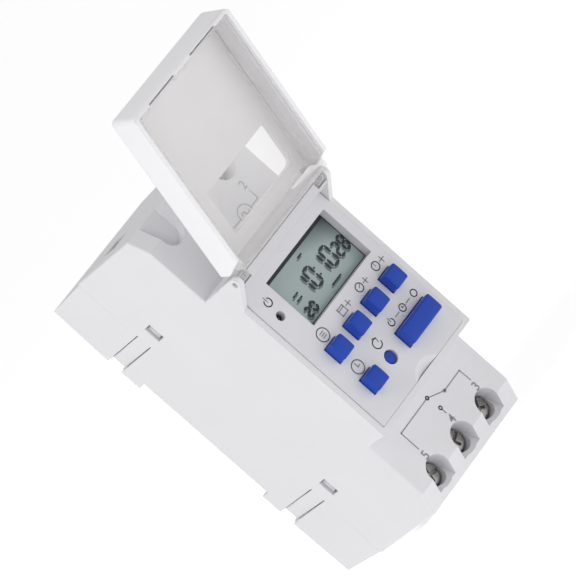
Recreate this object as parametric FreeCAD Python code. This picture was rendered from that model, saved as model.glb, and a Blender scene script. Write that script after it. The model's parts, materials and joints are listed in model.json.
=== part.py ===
"""Two-module time switch for a 35 mm mounting rail, with a hinged front lid.

Millimetres. +X is right as a reader faces the keys, +Y points back to the wall
and +Z is up. The origin is the middle of the face that rests on the rail.
"Depth" is measured forward from that face, so depth d lies at y = -d.
"""
import FreeCAD, Part

import math
import os

# ---------------------------------------------------------------- general
OVERCUT = 1.0              # how far a cutting shape runs past the faces it opens
SEAT_GAP = 0.02            # between parts that rest on each other
FIT_GAP = 0.1              # between parts that are assembled once
SLIDE_GAP = 0.2            # between parts that slide

# ---------------------------------------------------------------- case
CASE_WIDTH = 36.0          # two modules
CASE_HEIGHT = 86.6         # over the crests of the two end faces
TOWER_HEIGHT = 45.8        # the part that shows through a distribution board
SHOULDER_DEPTH = 40.4
LEDGE_DEPTH = 47.8         # rim of the tower, where the lid sits
END_FRONT_DEPTH = 37.5     # where the end face turns into the sloping edge
SLOPE_HEIGHT = 5.0         # height of the sloping edge, along Z
CREST_DEPTH = 12.4         # parting line, the highest line of an end face
CREST_STEP = 0.35
FRONT_DRAFT = 0.3          # how far an end face leans in, crest to front
REAR_DRAFT = 0.7           # how far it leans in, crest to rear
SIDE_WALL = 1.5
END_WALL = 1.6
SHOULDER_WALL = 1.8
TOWER_END_WALL = 1.1
EDGE_ROUND = 0.4

# ---------------------------------------------------------------- rail
RAIL_SLOT_HEIGHT = 35.4
FOOT_DEPTH = 2.6           # how far the feet stand behind the rail face
RAIL_GAP = 1.3             # room behind the rail face for the rail's flange
HOOK_REACH = 1.5
HOOK_WIDTH = 6.0
HOOK_PITCH = 20.0
BASE_WALL = 2.0
SEAT_RELIEF = 0.3          # groove in the rail face under the hooks
CLIP_WIDTH = 12.0
CLIP_FLANGE = 1.3
CLIP_THICKNESS = 1.5
CLIP_FLANGE_THICKNESS = 0.7
CLIP_TAB = 1.4             # how far the pull tab stands below the case
CLIP_TRAVEL = 4.0
SPRING_RADIUS = 1.1
SPRING_WIRE = 0.25
SPRING_LENGTH = 11.0
SPRING_TURNS = 9
SPRING_TOP = -24.4
LUG_THICKNESS = 1.2
FOOT_RIB = 0.4             # extra floor under the clip's channel

# ---------------------------------------------------------------- snaps
SNAP_CENTRE = 24.7
SNAP_WINDOW_HEIGHT = 4.0
SNAP_WINDOW_DEPTH = 16.8
SNAP_WINDOW_LENGTH = 2.6
TONGUE_WIDTH = 3.4
TONGUE_CREASE = 0.25
TONGUE_CREASE_BITE = 0.2     # deeper than the sink
TONGUE_FRONT = 12.8
TONGUE_SETBACK = 1.8
TONGUE_SINK = 0.6
ARM_THICKNESS = 1.0
ARM_WIDTH = 3.2
BARB_REACH = 1.1

# ---------------------------------------------------------------- front panel
PANEL_DEPTH = 48.2
PANEL_THICKNESS = 2.0
LCD_LEFT = -9.4
LCD_RIGHT = 13.9
LCD_BOTTOM = 2.7
LCD_TOP = 16.1
LCD_RECESS = 2.5
LCD_MARGIN = 1.4           # glass hidden behind the window's frame
LCD_THICKNESS = 2.2
LCD_COLLAR = 0.7
LED_X = -13.0
LED_Z = 9.5
LED_RADIUS = 0.95
LED_SETBACK = 1.2
SCOOP_X = 1.2
SCOOP_SPHERE = 10.0
SCOOP_CIRCLE = 5.1
SCOOP_TOP = -19.4
BEAM_TOP = 21.6
BEAM_BOTTOM = 19.5
BEAM_DEPTH = 53.3
BEAM_LIP = 0.6
BEAM_POCKET_DEPTH = 51.4

# ---------------------------------------------------------------- keys
KEY_WIDTH = 4.1
KEY_HEIGHT = 4.3
KEY_RISE = 2.9
KEY_GAP = 0.15
KEY_FLANGE = 0.5
KEY_FLANGE_THICKNESS = 0.8
KEY_CROWN = 0.35
KEY_TRAVEL = 0.5
KEY_PITCH = 7.3
KEY_ROW_LEFT = -12.1
KEY_ROW_TOP = -2.1
LOWER_ROW_TOP = -11.8
MANUAL_LEFT = 2.4
MANUAL_WIDTH = 11.5
RESET_X = -2.5
RESET_Z = -14.1
RESET_HOLE = 1.65
RESET_SETBACK = 0.4
STEM_RADIUS = 1.2
PLUNGER_RADIUS = 0.9
PLUNGER_GAP = 0.06
SWITCH_SIZE = 4.4
SWITCH_HEIGHT = 1.9

# ---------------------------------------------------------------- lid
HINGE_DEPTH = 53.1
HINGE_Z = 21.5
PIN_RADIUS = 0.6
PIN_GAP = 0.06
EAR_RADIUS = 1.45
EAR_THICKNESS = 1.4
EAR_SLOPE = 35.0           # degrees from the depth direction
LUG_RADIUS = 1.1
LUG_WIDTH = 2.2
LID_OPEN_ANGLE = 158.0
LID_FACE = 3.1             # outer face, in front of the hinge axis
LID_RIM_GAP = 0.35         # closed lid to ledge
LID_PLATE = 1.2
LID_WALL = 1.0
LID_START = 2.5            # hinge-side edge, below the hinge axis
LID_CORNER = 1.3
LID_EAR_GAP = 0.3
LINER_THICKNESS = 0.9
LINER_SETBACK = 0.8
WINDOW_LEFT = -8.6
WINDOW_RIGHT = 13.8
WINDOW_NEAR = 6.2
WINDOW_FAR = 17.3
WINDOW_CORNER = 1.5
CATCH_INNER = 3.2
CATCH_LENGTH = 9.2
CATCH_DEPTH = 1.0
CATCH_NOTCH = 1.5          # how far a catch slot reaches into the far wall
LUG_OVERLAP = 1.2          # how far a lug's arm runs into the liner's floor
EAR_ROOM = 0.9             # clear depth in front of an ear's tip
EAR_ROOM_RUN = 12.0
LINER_GAP = 0.05           # between the liner and the lid round it
PIN_SETBACK = 0.5          # from an ear's outer face to the pin's end

# ---------------------------------------------------------------- terminals
TERMINAL_PITCH = 10.3
TERMINAL_Z = 37.5
WELL_RADIUS = 3.1
WELL_WALL = 1.0
WELL_DEPTH = 7.2
RAMP_ANGLE = 40.0          # degrees, from the shoulder to the ramp beside a well
RAMP_START = 0.65          # where the ramp leaves the sloping edge, as a share of it
CLOSED_TERMINAL = 1        # its well has a floor over the screw
POCKET_DEPTH = 2.8
SCREW_SETBACK = 4.4
SCREW_HEAD_RADIUS = 2.7
SCREW_HEAD_HEIGHT = 1.8
SCREW_RADIUS = 1.5
SCREW_GAP = 0.06
RECESS_DEPTH = 0.9         # cross recess of a terminal screw
RECESS_WIDTH = 0.7
RECESS_REACH = 0.68        # as a share of the head's radius
RECESS_CENTRE = 0.8
RECESS_PIT = 1.35          # depth of the recess in its middle
BAR_FRONT = 26.2
BAR_THICKNESS = 1.2
BAR_WIDTH = 3.6
CAGE_WIDTH = 6.8
CAGE_HEIGHT = 5.6
CAGE_WALL = 0.9
CAGE_BOTTOM = 18.5
CAGE_TOP = 28.8
CAGE_PLATE = 1.2
ENTRY_WIDTH = 5.0
ENTRY_HEIGHT = 5.2
PARTITION = 1.2
PARTITION_GAP = 3.0        # from the mains board to a partition's edge
BAR_LAP = 0.6              # how far a bar reaches over the mains board

# ---------------------------------------------------------------- boards
BOARD_THICKNESS = 1.6
POWER_BOARD_DEPTH = 8.0
POWER_BOARD_HEIGHT = 67.2
BOARD_SCREW_X = 12.5
BOARD_SCREW_Z = 29.0
POST_RADIUS = 2.4
BOARD_WIDTH = 31.6
DISPLAY_BOARD_FRONT = 41.5
DISPLAY_BOARD_HEIGHT = 42.0
RISER_WIDTH = 12.0
RISER_Z = 17.0
BARRIER_DEPTH = 33.4
BARRIER_THICKNESS = 0.8
RELAY_WIDTH = 13.0
RELAY_LENGTH = 28.8
RELAY_HEIGHT = 15.6
RELAY_X = -7.6
RELAY_WALL = 0.8
RELAY_BASE = 1.6
YOKE_WIDTH = 7.2
YOKE_THICKNESS = 1.2
YOKE_HEIGHT = 10.6
YOKE_END = -11.6
COIL_AXIS = 6.0
COIL_RADIUS = 4.4
CORE_RADIUS = 1.5
ARMATURE_Z = 5.3
ARMATURE_GAP = 0.7
CONTACT_OFFSET = 1.1
CONTACT_RADIUS = 1.1
CONTACT_GAP = 1.03
CONTACT_PROUD = 0.1         # past the armature, so the contacts meet first
CONTACT_LEAF = 0.3
CONTACT_STRIP = 1.0
CONTACT_PAD = 0.5
CONTACT_RISER = 0.8
CONTACT_START = 1.4        # from the yoke's end to the fixed contact's riser
LEAF_BACK = 3.0
COIL_FLANGE = 0.6
ARMATURE_THICKNESS = 1.0
ARMATURE_BEARING = 0.3     # radius of the yoke's edge that the armature rocks on
RISER_THICKNESS = 1.0
RISER_GAP = 0.3
BOARD_SCREW_HEAD = 2.0
BOARD_SCREW_HEIGHT = 1.4
BOARD_SCREW_SLOT = 0.6
BOARD_SCREW_SLOT_DEPTH = 0.5
HOLDER_WALL = 0.6
HOLDER_SETBACK = 0.3
REFLECTOR_THICKNESS = 0.4
STRIP_OVERLAP = 0.2
STRIP_HEIGHT = 1.2
LED_FOOT_HEIGHT = 0.8
LED_FLANGE = 0.3
PLUNGER_LENGTH = 0.3       # of a plunger, inside its switch at rest

# Parts on the boards: places are x and z, sizes follow.
FILM_LEFT, FILM_RIGHT = 1.6, 10.6
FILM_BOTTOM, FILM_TOP = -13.0, 5.0
FILM_HEIGHT = 14.0
FILM_CORNER = 0.8
CANS = ((5.0, -22.0, 4.0, 11.5), (-6.0, -22.5, 3.15, 11.0))  # x, z, radius, height
VARISTOR_X = 7.0
VARISTOR_RADIUS = 4.5
VARISTOR_STAND = 5.2
VARISTOR_BOTTOM, VARISTOR_TOP = 24.0, 27.4
FUSE_Z = 12.0
FUSE_RADIUS = 1.6
FUSE_STAND = 1.8
FUSE_LEFT, FUSE_RIGHT = 2.0, 11.0
DIODE_X = 13.4
DIODE_RADIUS = 1.2
DIODE_STAND = 1.4
DIODE_LENGTH = 5.0
DIODE_PITCH = 7.0
DIODE_BOTTOM = -12.0
DIODE_COUNT = 4
CHIP_SIZE = 10.0
CHIP_BOTTOM = 4.0
CHIP_THICKNESS = 1.5
CHIP_PIN_REACH = 0.8
CHIP_PIN_WIDTH = 0.5
CHIP_PIN_TOP, CHIP_PIN_BOTTOM = 0.2, 0.6
CHIP_PIN_COUNT = 9
CRYSTAL_X = 10.5
CRYSTAL_BOTTOM, CRYSTAL_TOP = 6.0, 12.0
CRYSTAL_RADIUS = 1.0
CELL_X, CELL_Z = -4.0, -10.0
CELL_RADIUS = 6.2
CELL_THICKNESS = 3.2

HALF_WIDTH = CASE_WIDTH / 2
HALF_HEIGHT = CASE_HEIGHT / 2
HALF_TOWER = TOWER_HEIGHT / 2
HALF_SLOT = RAIL_SLOT_HEIGHT / 2
PANEL_BACK = PANEL_DEPTH - PANEL_THICKNESS
INNER_X = HALF_WIDTH - SIDE_WALL
INNER_Z = HALF_HEIGHT - REAR_DRAFT - CREST_STEP - END_WALL
LCD_FRONT = PANEL_DEPTH - LCD_RECESS
SHOULDER_INNER = SHOULDER_DEPTH - SHOULDER_WALL
POWER_BOARD_FRONT = POWER_BOARD_DEPTH + BOARD_THICKNESS
DISPLAY_BOARD_BACK = DISPLAY_BOARD_FRONT - BOARD_THICKNESS


# ---------------------------------------------------------------- helpers
def block(x0, x1, d0, d1, z0, z1):
    """Return a box from its x, depth and z limits."""
    corner = FreeCAD.Vector(min(x0, x1), -max(d0, d1), min(z0, z1))
    return Part.makeBox(abs(x1 - x0), abs(d1 - d0), abs(z1 - z0), corner)


def prism(outline, x0, x1):
    """Return a solid whose (depth, z) outline runs from x0 to x1."""
    points = [FreeCAD.Vector(x0, -depth, z) for depth, z in outline]
    face = Part.Face(Part.makePolygon(points + points[:1]))
    return face.extrude(FreeCAD.Vector(x1 - x0, 0, 0))


def plate(outline, d0, d1):
    """Return a solid whose (x, z) outline runs from depth d0 to d1."""
    points = [FreeCAD.Vector(x, -d0, z) for x, z in outline]
    face = Part.Face(Part.makePolygon(points + points[:1]))
    return face.extrude(FreeCAD.Vector(0, d0 - d1, 0))


def rod(x, z, radius, d0, d1):
    """Return a cylinder along the depth direction."""
    return Part.makeCylinder(radius, d1 - d0, FreeCAD.Vector(x, -d0, z), FreeCAD.Vector(0, -1, 0))


def rod_x(depth, z, radius, x0, x1):
    """Return a cylinder along X."""
    return Part.makeCylinder(radius, x1 - x0, FreeCAD.Vector(x0, -depth, z), FreeCAD.Vector(1, 0, 0))


def rod_z(x, depth, radius, z0, z1):
    """Return a cylinder along Z."""
    return Part.makeCylinder(radius, z1 - z0, FreeCAD.Vector(x, -depth, z0), FreeCAD.Vector(0, 0, 1))


def joined(shapes):
    """Fuse shapes into one solid."""
    result = shapes[0]
    for shape in shapes[1:]:
        result = result.fuse(shape)
    return result.removeSplitter()


def without(shape, tools):
    """Cut every tool from a shape."""
    return shape.cut(Part.makeCompound(tools)) if tools else shape


def rounded(shape, radius, wanted):
    """Round the straight edges that a test picks by its mid-point and direction."""
    edges = []
    for edge in shape.Edges:
        if edge.Curve.TypeId == "Part::GeomLine":
            middle = edge.valueAt((edge.FirstParameter + edge.LastParameter) / 2)
            if wanted(middle, edge.Curve.Direction):
                edges.append(edge)
    return shape.makeFillet(radius, edges)


def both_sides(shape):
    """Return a shape and its mirror image across X = 0."""
    return [shape, shape.mirror(FreeCAD.Vector(0, 0, 0), FreeCAD.Vector(1, 0, 0))]


def both_ends(shape):
    """Return a shape and its mirror image across Z = 0."""
    return [shape, shape.mirror(FreeCAD.Vector(0, 0, 0), FreeCAD.Vector(0, 0, 1))]


def save(name, shapes):
    """Write one node, made of one solid or of several separate ones."""
    solids = [solid for shape in shapes for solid in shape.Solids]
    shape = solids[0] if len(solids) == 1 else Part.makeCompound(solids)
    shape.exportStep(os.path.join("parts", name + ".step"))


def terminal_places():
    """Return the (x, z) of each terminal: two at the top, three at the bottom."""
    top = [(-TERMINAL_PITCH, TERMINAL_Z), (TERMINAL_PITCH, TERMINAL_Z)]
    bottom = [(step * TERMINAL_PITCH, -TERMINAL_Z) for step in (1, 0, -1)]
    return top + bottom


# ---------------------------------------------------------------- case
def case_outline():
    """Return the case's (depth, z) outline, feet and rail slot included."""
    upper = [
        (-FOOT_DEPTH, HALF_SLOT),
        (-FOOT_DEPTH, HALF_HEIGHT - CREST_STEP - REAR_DRAFT),
        (CREST_DEPTH, HALF_HEIGHT - CREST_STEP),
        (CREST_DEPTH, HALF_HEIGHT),
        (END_FRONT_DEPTH, HALF_HEIGHT - FRONT_DRAFT),
        (SHOULDER_DEPTH, HALF_HEIGHT - FRONT_DRAFT - SLOPE_HEIGHT),
        (SHOULDER_DEPTH, HALF_TOWER),
        (LEDGE_DEPTH, HALF_TOWER),
    ]
    lower = [(depth, -z) for depth, z in reversed(upper)]
    return [(0, HALF_SLOT)] + upper + lower + [(0, -HALF_SLOT)]


def case_hollow():
    """Return the room inside the case, open at the rear and through the tower."""
    back = -FOOT_DEPTH - OVERCUT
    slope_inner = HALF_HEIGHT - FRONT_DRAFT - SLOPE_HEIGHT
    front_end = END_FRONT_DEPTH - SHOULDER_WALL
    upper = [
        (back, INNER_Z),
        (front_end, INNER_Z),
        (SHOULDER_INNER, slope_inner - END_WALL / 2),
        (SHOULDER_INNER, HALF_TOWER - TOWER_END_WALL),
        (LEDGE_DEPTH + OVERCUT, HALF_TOWER - TOWER_END_WALL),
    ]
    lower = [(depth, -z) for depth, z in reversed(upper)]
    return prism(upper + lower, -INNER_X, INNER_X)


def ear_outline():
    """Return the (depth, z) outline of a hinge ear without its round tip."""
    slope = math.radians(EAR_SLOPE)
    tip = (HINGE_DEPTH + EAR_RADIUS * math.sin(slope), HINGE_Z - EAR_RADIUS * math.cos(slope))
    foot_z = tip[1] - (tip[0] - LEDGE_DEPTH) * math.tan(slope)
    top = HINGE_Z + EAR_RADIUS
    return [(LEDGE_DEPTH, foot_z), tip, (HINGE_DEPTH, HINGE_Z), (HINGE_DEPTH, top), (LEDGE_DEPTH, top)]


def hinge_ear():
    """Return the right-hand hinge ear, without its hole."""
    inner = HALF_WIDTH - EAR_THICKNESS
    tip = rod_x(HINGE_DEPTH, HINGE_Z, EAR_RADIUS, inner, HALF_WIDTH)
    return joined([prism(ear_outline(), inner, HALF_WIDTH), tip])


def edge_point(share):
    """Return the (depth, z) at a share of the way down the upper sloping edge."""
    return (SHOULDER_DEPTH + share * (END_FRONT_DEPTH - SHOULDER_DEPTH),
            HALF_HEIGHT - FRONT_DRAFT - (1 - share) * SLOPE_HEIGHT)


def ramp_cut(x, end):
    """Return the flat ramp that leads from an end's sloping edge into a screw well."""
    depth, start = edge_point(RAMP_START)
    rise = math.tan(math.radians(RAMP_ANGLE))
    above = SHOULDER_DEPTH + OVERCUT
    outline = [(depth - (start - TERMINAL_Z) * rise, TERMINAL_Z), (above, TERMINAL_Z),
               (above, start + (above - depth) / rise)]
    return prism([(d, end * z) for d, z in outline], x - WELL_RADIUS, x + WELL_RADIUS)


def pocket_cut(x):
    """Return the closed, flat-bottomed pocket over a terminal of the upper end."""
    floor = SHOULDER_DEPTH - POCKET_DEPTH
    above = SHOULDER_DEPTH + OVERCUT
    channel = block(x - WELL_RADIUS, x + WELL_RADIUS, floor, above, TERMINAL_Z, HALF_HEIGHT + OVERCUT)
    return joined([channel, rod(x, TERMINAL_Z, WELL_RADIUS, floor, above)])


def screw_well(x, z):
    """Return the tube that leads a screwdriver to a terminal screw."""
    return rod(x, z, WELL_RADIUS + WELL_WALL, SHOULDER_DEPTH - WELL_DEPTH, SHOULDER_INNER + FIT_GAP)


def well_cuts():
    """Return what is cut away for the screwdriver and the wire at each terminal."""
    cuts = []
    for number, (x, z) in enumerate(terminal_places(), start=1):
        end = math.copysign(1, z)
        bottom = SHOULDER_DEPTH - WELL_DEPTH - OVERCUT
        if number == CLOSED_TERMINAL:
            cuts += [pocket_cut(x), rod(x, z, WELL_RADIUS, bottom, SHOULDER_DEPTH - POCKET_DEPTH - WELL_WALL)]
        else:
            cuts += [rod(x, z, WELL_RADIUS, bottom, SHOULDER_DEPTH + OVERCUT), ramp_cut(x, end)]
        half = ENTRY_WIDTH / 2
        entry_bottom = CAGE_BOTTOM + CAGE_PLATE
        cuts.append(block(x - half, x + half, entry_bottom, entry_bottom + ENTRY_HEIGHT,
                          end * (INNER_Z - OVERCUT), end * (HALF_HEIGHT + OVERCUT)))
    return cuts


def partitions():
    """Return the walls between neighbouring terminals."""
    half = TERMINAL_PITCH / 2
    wall = block(half - PARTITION / 2, half + PARTITION / 2, POWER_BOARD_FRONT + PARTITION_GAP,
                 SHOULDER_INNER + FIT_GAP,
                 TERMINAL_Z - CAGE_HEIGHT / 2 - PARTITION, INNER_Z + FIT_GAP)
    return [end for side in both_sides(wall) for end in both_ends(side)]


def clip_exit():
    """Return the slot in the lower end wall that the rail clip passes through."""
    half = CLIP_WIDTH / 2 + SLIDE_GAP
    return block(-half, half, -FOOT_DEPTH - OVERCUT, -FOOT_DEPTH + 2 * SLIDE_GAP + CLIP_THICKNESS,
                 -HALF_HEIGHT - OVERCUT, -INNER_Z + OVERCUT)


def tongue_cuts():
    """Return the creases, the set-back and the sink of the four side tongues."""
    half = TONGUE_WIDTH / 2
    back = -FOOT_DEPTH - OVERCUT
    outer = HALF_WIDTH + OVERCUT
    bottom = HALF_WIDTH - TONGUE_SINK - TONGUE_CREASE_BITE
    creases = []
    for offset in (-half - TONGUE_CREASE, half):
        low = SNAP_CENTRE + offset
        creases.append(block(bottom, outer, back, TONGUE_FRONT, low, low + TONGUE_CREASE))
    setback = block(INNER_X - OVERCUT, outer, back, TONGUE_SETBACK - FOOT_DEPTH,
                    SNAP_CENTRE - half, SNAP_CENTRE + half)
    wedge_points = [
        FreeCAD.Vector(HALF_WIDTH, -TONGUE_FRONT, SNAP_CENTRE - half),
        FreeCAD.Vector(HALF_WIDTH - TONGUE_SINK, FOOT_DEPTH, SNAP_CENTRE - half),
        FreeCAD.Vector(outer, FOOT_DEPTH, SNAP_CENTRE - half),
        FreeCAD.Vector(outer, -TONGUE_FRONT, SNAP_CENTRE - half),
    ]
    face = Part.Face(Part.makePolygon(wedge_points + wedge_points[:1]))
    sink = face.extrude(FreeCAD.Vector(0, 0, TONGUE_WIDTH))
    window = block(INNER_X - OVERCUT, outer, SNAP_WINDOW_DEPTH, SNAP_WINDOW_DEPTH + SNAP_WINDOW_LENGTH,
                   SNAP_CENTRE - SNAP_WINDOW_HEIGHT / 2, SNAP_CENTRE + SNAP_WINDOW_HEIGHT / 2)
    cuts = []
    for tool in creases + [setback, sink, window]:
        for side in both_sides(tool):
            cuts += both_ends(side)
    return cuts


def rear_corner_wedges():
    """Return the thin wedges that set the rear corners of the sides in."""
    start = SNAP_CENTRE + SNAP_WINDOW_HEIGHT
    points = [
        FreeCAD.Vector(HALF_WIDTH, -CREST_DEPTH, start),
        FreeCAD.Vector(HALF_WIDTH - CREST_STEP, -CREST_DEPTH, HALF_HEIGHT + OVERCUT),
        FreeCAD.Vector(HALF_WIDTH + OVERCUT, -CREST_DEPTH, HALF_HEIGHT + OVERCUT),
        FreeCAD.Vector(HALF_WIDTH + OVERCUT, -CREST_DEPTH, start),
    ]
    face = Part.Face(Part.makePolygon(points + points[:1]))
    wedge = face.extrude(FreeCAD.Vector(0, CREST_DEPTH + FOOT_DEPTH + OVERCUT, 0))
    return [end for side in both_sides(wedge) for end in both_ends(side)]


def make_housing():
    """Return the case moulding: sides, ends, shoulders, tower and hinge ears."""
    outer = prism(case_outline(), -HALF_WIDTH, HALF_WIDTH)
    outer = rounded(outer, EDGE_ROUND, lambda mid, way: abs(abs(mid.x) - HALF_WIDTH) < SEAT_GAP
                    and mid.y < -END_FRONT_DEPTH / 2 and abs(mid.z) > EDGE_ROUND)
    shell = outer.cut(case_hollow())
    shell = joined([shell] + [screw_well(x, z) for x, z in terminal_places()] + partitions())
    shell = joined([shell] + both_sides(hinge_ear()))
    holes = both_sides(rod_x(HINGE_DEPTH, HINGE_Z, PIN_RADIUS + PIN_GAP, INNER_X - OVERCUT,
                             HALF_WIDTH + OVERCUT))
    return without(shell, well_cuts() + tongue_cuts() + rear_corner_wedges() + holes + [clip_exit()])


# ---------------------------------------------------------------- rear base and rail clip
def clip_channel():
    """Return the T-shaped channel that the rail clip slides in."""
    mouth = CLIP_WIDTH / 2 + SLIDE_GAP
    wide = mouth + CLIP_FLANGE
    floor = -FOOT_DEPTH + SLIDE_GAP + CLIP_THICKNESS + SLIDE_GAP
    lip = floor - CLIP_FLANGE_THICKNESS - 2 * SLIDE_GAP
    bottom = -HALF_HEIGHT - OVERCUT
    top = -HALF_SLOT + HOOK_REACH
    return [
        block(-mouth, mouth, -FOOT_DEPTH - OVERCUT, floor, bottom, top),
        block(-wide, wide, lip, floor, bottom, top - SEAT_RELIEF),
    ]


def spring_pocket():
    """Return the pocket that holds the clip's return spring."""
    half = SPRING_RADIUS + SPRING_WIRE + SLIDE_GAP
    bottom = SPRING_TOP - SPRING_LENGTH
    return block(-half, half, -FOOT_DEPTH, spring_depth() + half, bottom,
                 SPRING_TOP + LUG_THICKNESS + 2 * SLIDE_GAP)


def spring_depth():
    """Return the depth of the spring's axis."""
    return -FOOT_DEPTH + 2 * SLIDE_GAP + CLIP_THICKNESS + SPRING_RADIUS + SPRING_WIRE


def snap_arm():
    """Return one snap arm of the rear base, on the +X, +Z side."""
    outer = INNER_X - SLIDE_GAP
    half = ARM_WIDTH / 2
    low = SNAP_CENTRE - half
    tip = SNAP_WINDOW_DEPTH + SNAP_WINDOW_LENGTH - SLIDE_GAP
    arm = block(outer - ARM_THICKNESS, outer, 0, tip, low, low + ARM_WIDTH)
    points = [
        FreeCAD.Vector(outer, -SNAP_WINDOW_DEPTH - SLIDE_GAP, low),
        FreeCAD.Vector(outer + BARB_REACH, -SNAP_WINDOW_DEPTH - SLIDE_GAP, low),
        FreeCAD.Vector(outer, -tip, low),
    ]
    barb = Part.Face(Part.makePolygon(points + points[:1])).extrude(FreeCAD.Vector(0, 0, ARM_WIDTH))
    return joined([arm, barb])


def make_rear_base():
    """Return the rear moulding: rail seat, feet, fixed rail hooks and snap arms."""
    half_x = INNER_X - FIT_GAP
    top = INNER_Z - FIT_GAP
    seat = block(-half_x, half_x, 0, BASE_WALL, -top, top)
    upper_foot = block(-half_x, half_x, -FOOT_DEPTH, 0, HALF_SLOT, top)
    relief = block(-half_x + BASE_WALL, half_x - BASE_WALL, BASE_WALL - FOOT_DEPTH, BASE_WALL + OVERCUT,
                   HALF_SLOT + BASE_WALL, top - BASE_WALL)
    lower_foot = block(-half_x, half_x, -FOOT_DEPTH, BASE_WALL + FOOT_RIB, -top, -HALF_SLOT)
    body = joined([seat, upper_foot, lower_foot]).cut(relief)
    hooks = []
    for centre in (-HOOK_PITCH / 2, HOOK_PITCH / 2):
        left = centre - HOOK_WIDTH / 2
        hooks.append(block(left, left + HOOK_WIDTH, -FOOT_DEPTH, -RAIL_GAP,
                           HALF_SLOT - HOOK_REACH, HALF_SLOT))
    arms = [end for side in both_sides(snap_arm()) for end in both_ends(side)]
    posts = []
    for x in (-BOARD_SCREW_X, BOARD_SCREW_X):
        for z in (-BOARD_SCREW_Z, BOARD_SCREW_Z):
            posts.append(rod(x, z, POST_RADIUS, -FOOT_DEPTH / 2, POWER_BOARD_DEPTH - SEAT_GAP))
    body = joined([body] + hooks + arms + posts)
    grooves = both_ends(block(-half_x, half_x, 0, SEAT_RELIEF,
                              HALF_SLOT - HOOK_REACH - SLIDE_GAP, HALF_SLOT))
    return without(body, clip_channel() + [spring_pocket()] + grooves)


def make_din_clip():
    """Return the sliding rail clip with its hook, flanges, lug and pull tab."""
    back = -FOOT_DEPTH + SLIDE_GAP
    front = back + CLIP_THICKNESS
    half = CLIP_WIDTH / 2
    hook_top = -HALF_SLOT + HOOK_REACH
    tab = -HALF_HEIGHT - CLIP_TAB
    body = block(-half, half, back, front, tab, -HALF_SLOT)
    hook = block(-half, half, back, -RAIL_GAP, -HALF_SLOT, hook_top)
    flange_top = -HALF_SLOT - SLIDE_GAP
    flanges = block(-half - CLIP_FLANGE, half + CLIP_FLANGE, front - CLIP_FLANGE_THICKNESS, front,
                    -INNER_Z + CLIP_TRAVEL + 2 * SLIDE_GAP, flange_top)
    lug = block(-SPRING_RADIUS, SPRING_RADIUS, front, spring_depth() + SPRING_RADIUS,
                SPRING_TOP, SPRING_TOP + LUG_THICKNESS)
    slot = block(-half / 2, half / 2, back - OVERCUT, front + OVERCUT, tab + CLIP_TAB, tab + 2 * CLIP_TAB)
    return joined([body, hook, flanges, lug]).cut(slot)


def make_clip_spring():
    """Return the clip's return spring as a coiled wire."""
    length = SPRING_LENGTH - 2 * SPRING_WIRE - 2 * SLIDE_GAP
    pitch = length / SPRING_TURNS
    helix = Part.makeHelix(pitch, length, SPRING_RADIUS)
    profile = Part.Wire([Part.makeCircle(SPRING_WIRE, FreeCAD.Vector(SPRING_RADIUS, 0, 0),
                                         FreeCAD.Vector(0, 1, 0))])
    coil = Part.Wire(helix.Edges).makePipeShell([profile], True, True)
    low = SPRING_TOP - SPRING_LENGTH + SPRING_WIRE + SLIDE_GAP
    coil.translate(FreeCAD.Vector(0, -spring_depth(), low))
    return coil


# ---------------------------------------------------------------- front panel
def key_outlines():
    """Return name, left, top, width and height of each rectangular key."""
    rows = []
    for index, name in enumerate(("program_key", "day_key", "hour_key", "minute_key")):
        rows.append((name, KEY_ROW_LEFT + index * KEY_PITCH, KEY_ROW_TOP, KEY_WIDTH, KEY_HEIGHT))
    rows.append(("clock_key", KEY_ROW_LEFT, LOWER_ROW_TOP, KEY_WIDTH, KEY_HEIGHT))
    rows.append(("manual_key", MANUAL_LEFT, LOWER_ROW_TOP, MANUAL_WIDTH, KEY_HEIGHT))
    return rows


def hinge_beam():
    """Return the raised beam along the panel's top edge, with room for the lid's lugs."""
    half_x = HALF_WIDTH - EAR_THICKNESS - FIT_GAP
    beam = block(-half_x, half_x, PANEL_BACK, BEAM_DEPTH, BEAM_BOTTOM, BEAM_TOP)
    pocket = block(half_x - LUG_WIDTH - 4 * SLIDE_GAP, half_x + OVERCUT, BEAM_POCKET_DEPTH,
                   BEAM_DEPTH + OVERCUT, BEAM_BOTTOM + BEAM_LIP, BEAM_TOP + OVERCUT)
    return without(beam, both_sides(pocket))


def make_front_panel():
    """Return the key panel with its display window, openings and hinge beam."""
    half_x = INNER_X - FIT_GAP
    half_z = HALF_TOWER - TOWER_END_WALL - FIT_GAP
    panel = block(-half_x, half_x, PANEL_BACK, PANEL_DEPTH, -half_z, half_z)
    collar = block(LCD_LEFT - LCD_COLLAR, LCD_RIGHT + LCD_COLLAR, LCD_FRONT, PANEL_BACK,
                   LCD_BOTTOM - LCD_COLLAR, LCD_TOP + LCD_COLLAR)
    back = PANEL_BACK - OVERCUT
    front = PANEL_DEPTH + OVERCUT
    cuts = [block(LCD_LEFT, LCD_RIGHT, LCD_FRONT - OVERCUT, front, LCD_BOTTOM, LCD_TOP)]
    for _, left, top, width, height in key_outlines():
        cuts.append(block(left - KEY_GAP, left + width + KEY_GAP, back, front,
                          top - height - KEY_GAP, top + KEY_GAP))
    cuts.append(rod(RESET_X, RESET_Z, RESET_HOLE, back, front))
    cuts.append(rod(LED_X, LED_Z, LED_RADIUS + KEY_GAP, back, front))
    rise = math.sqrt(SCOOP_SPHERE ** 2 - SCOOP_CIRCLE ** 2)
    centre = FreeCAD.Vector(SCOOP_X, -PANEL_DEPTH - rise, SCOOP_TOP - SCOOP_CIRCLE)
    cuts.append(Part.makeSphere(SCOOP_SPHERE, centre))
    return without(joined([panel, collar, hinge_beam()]), cuts)


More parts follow.
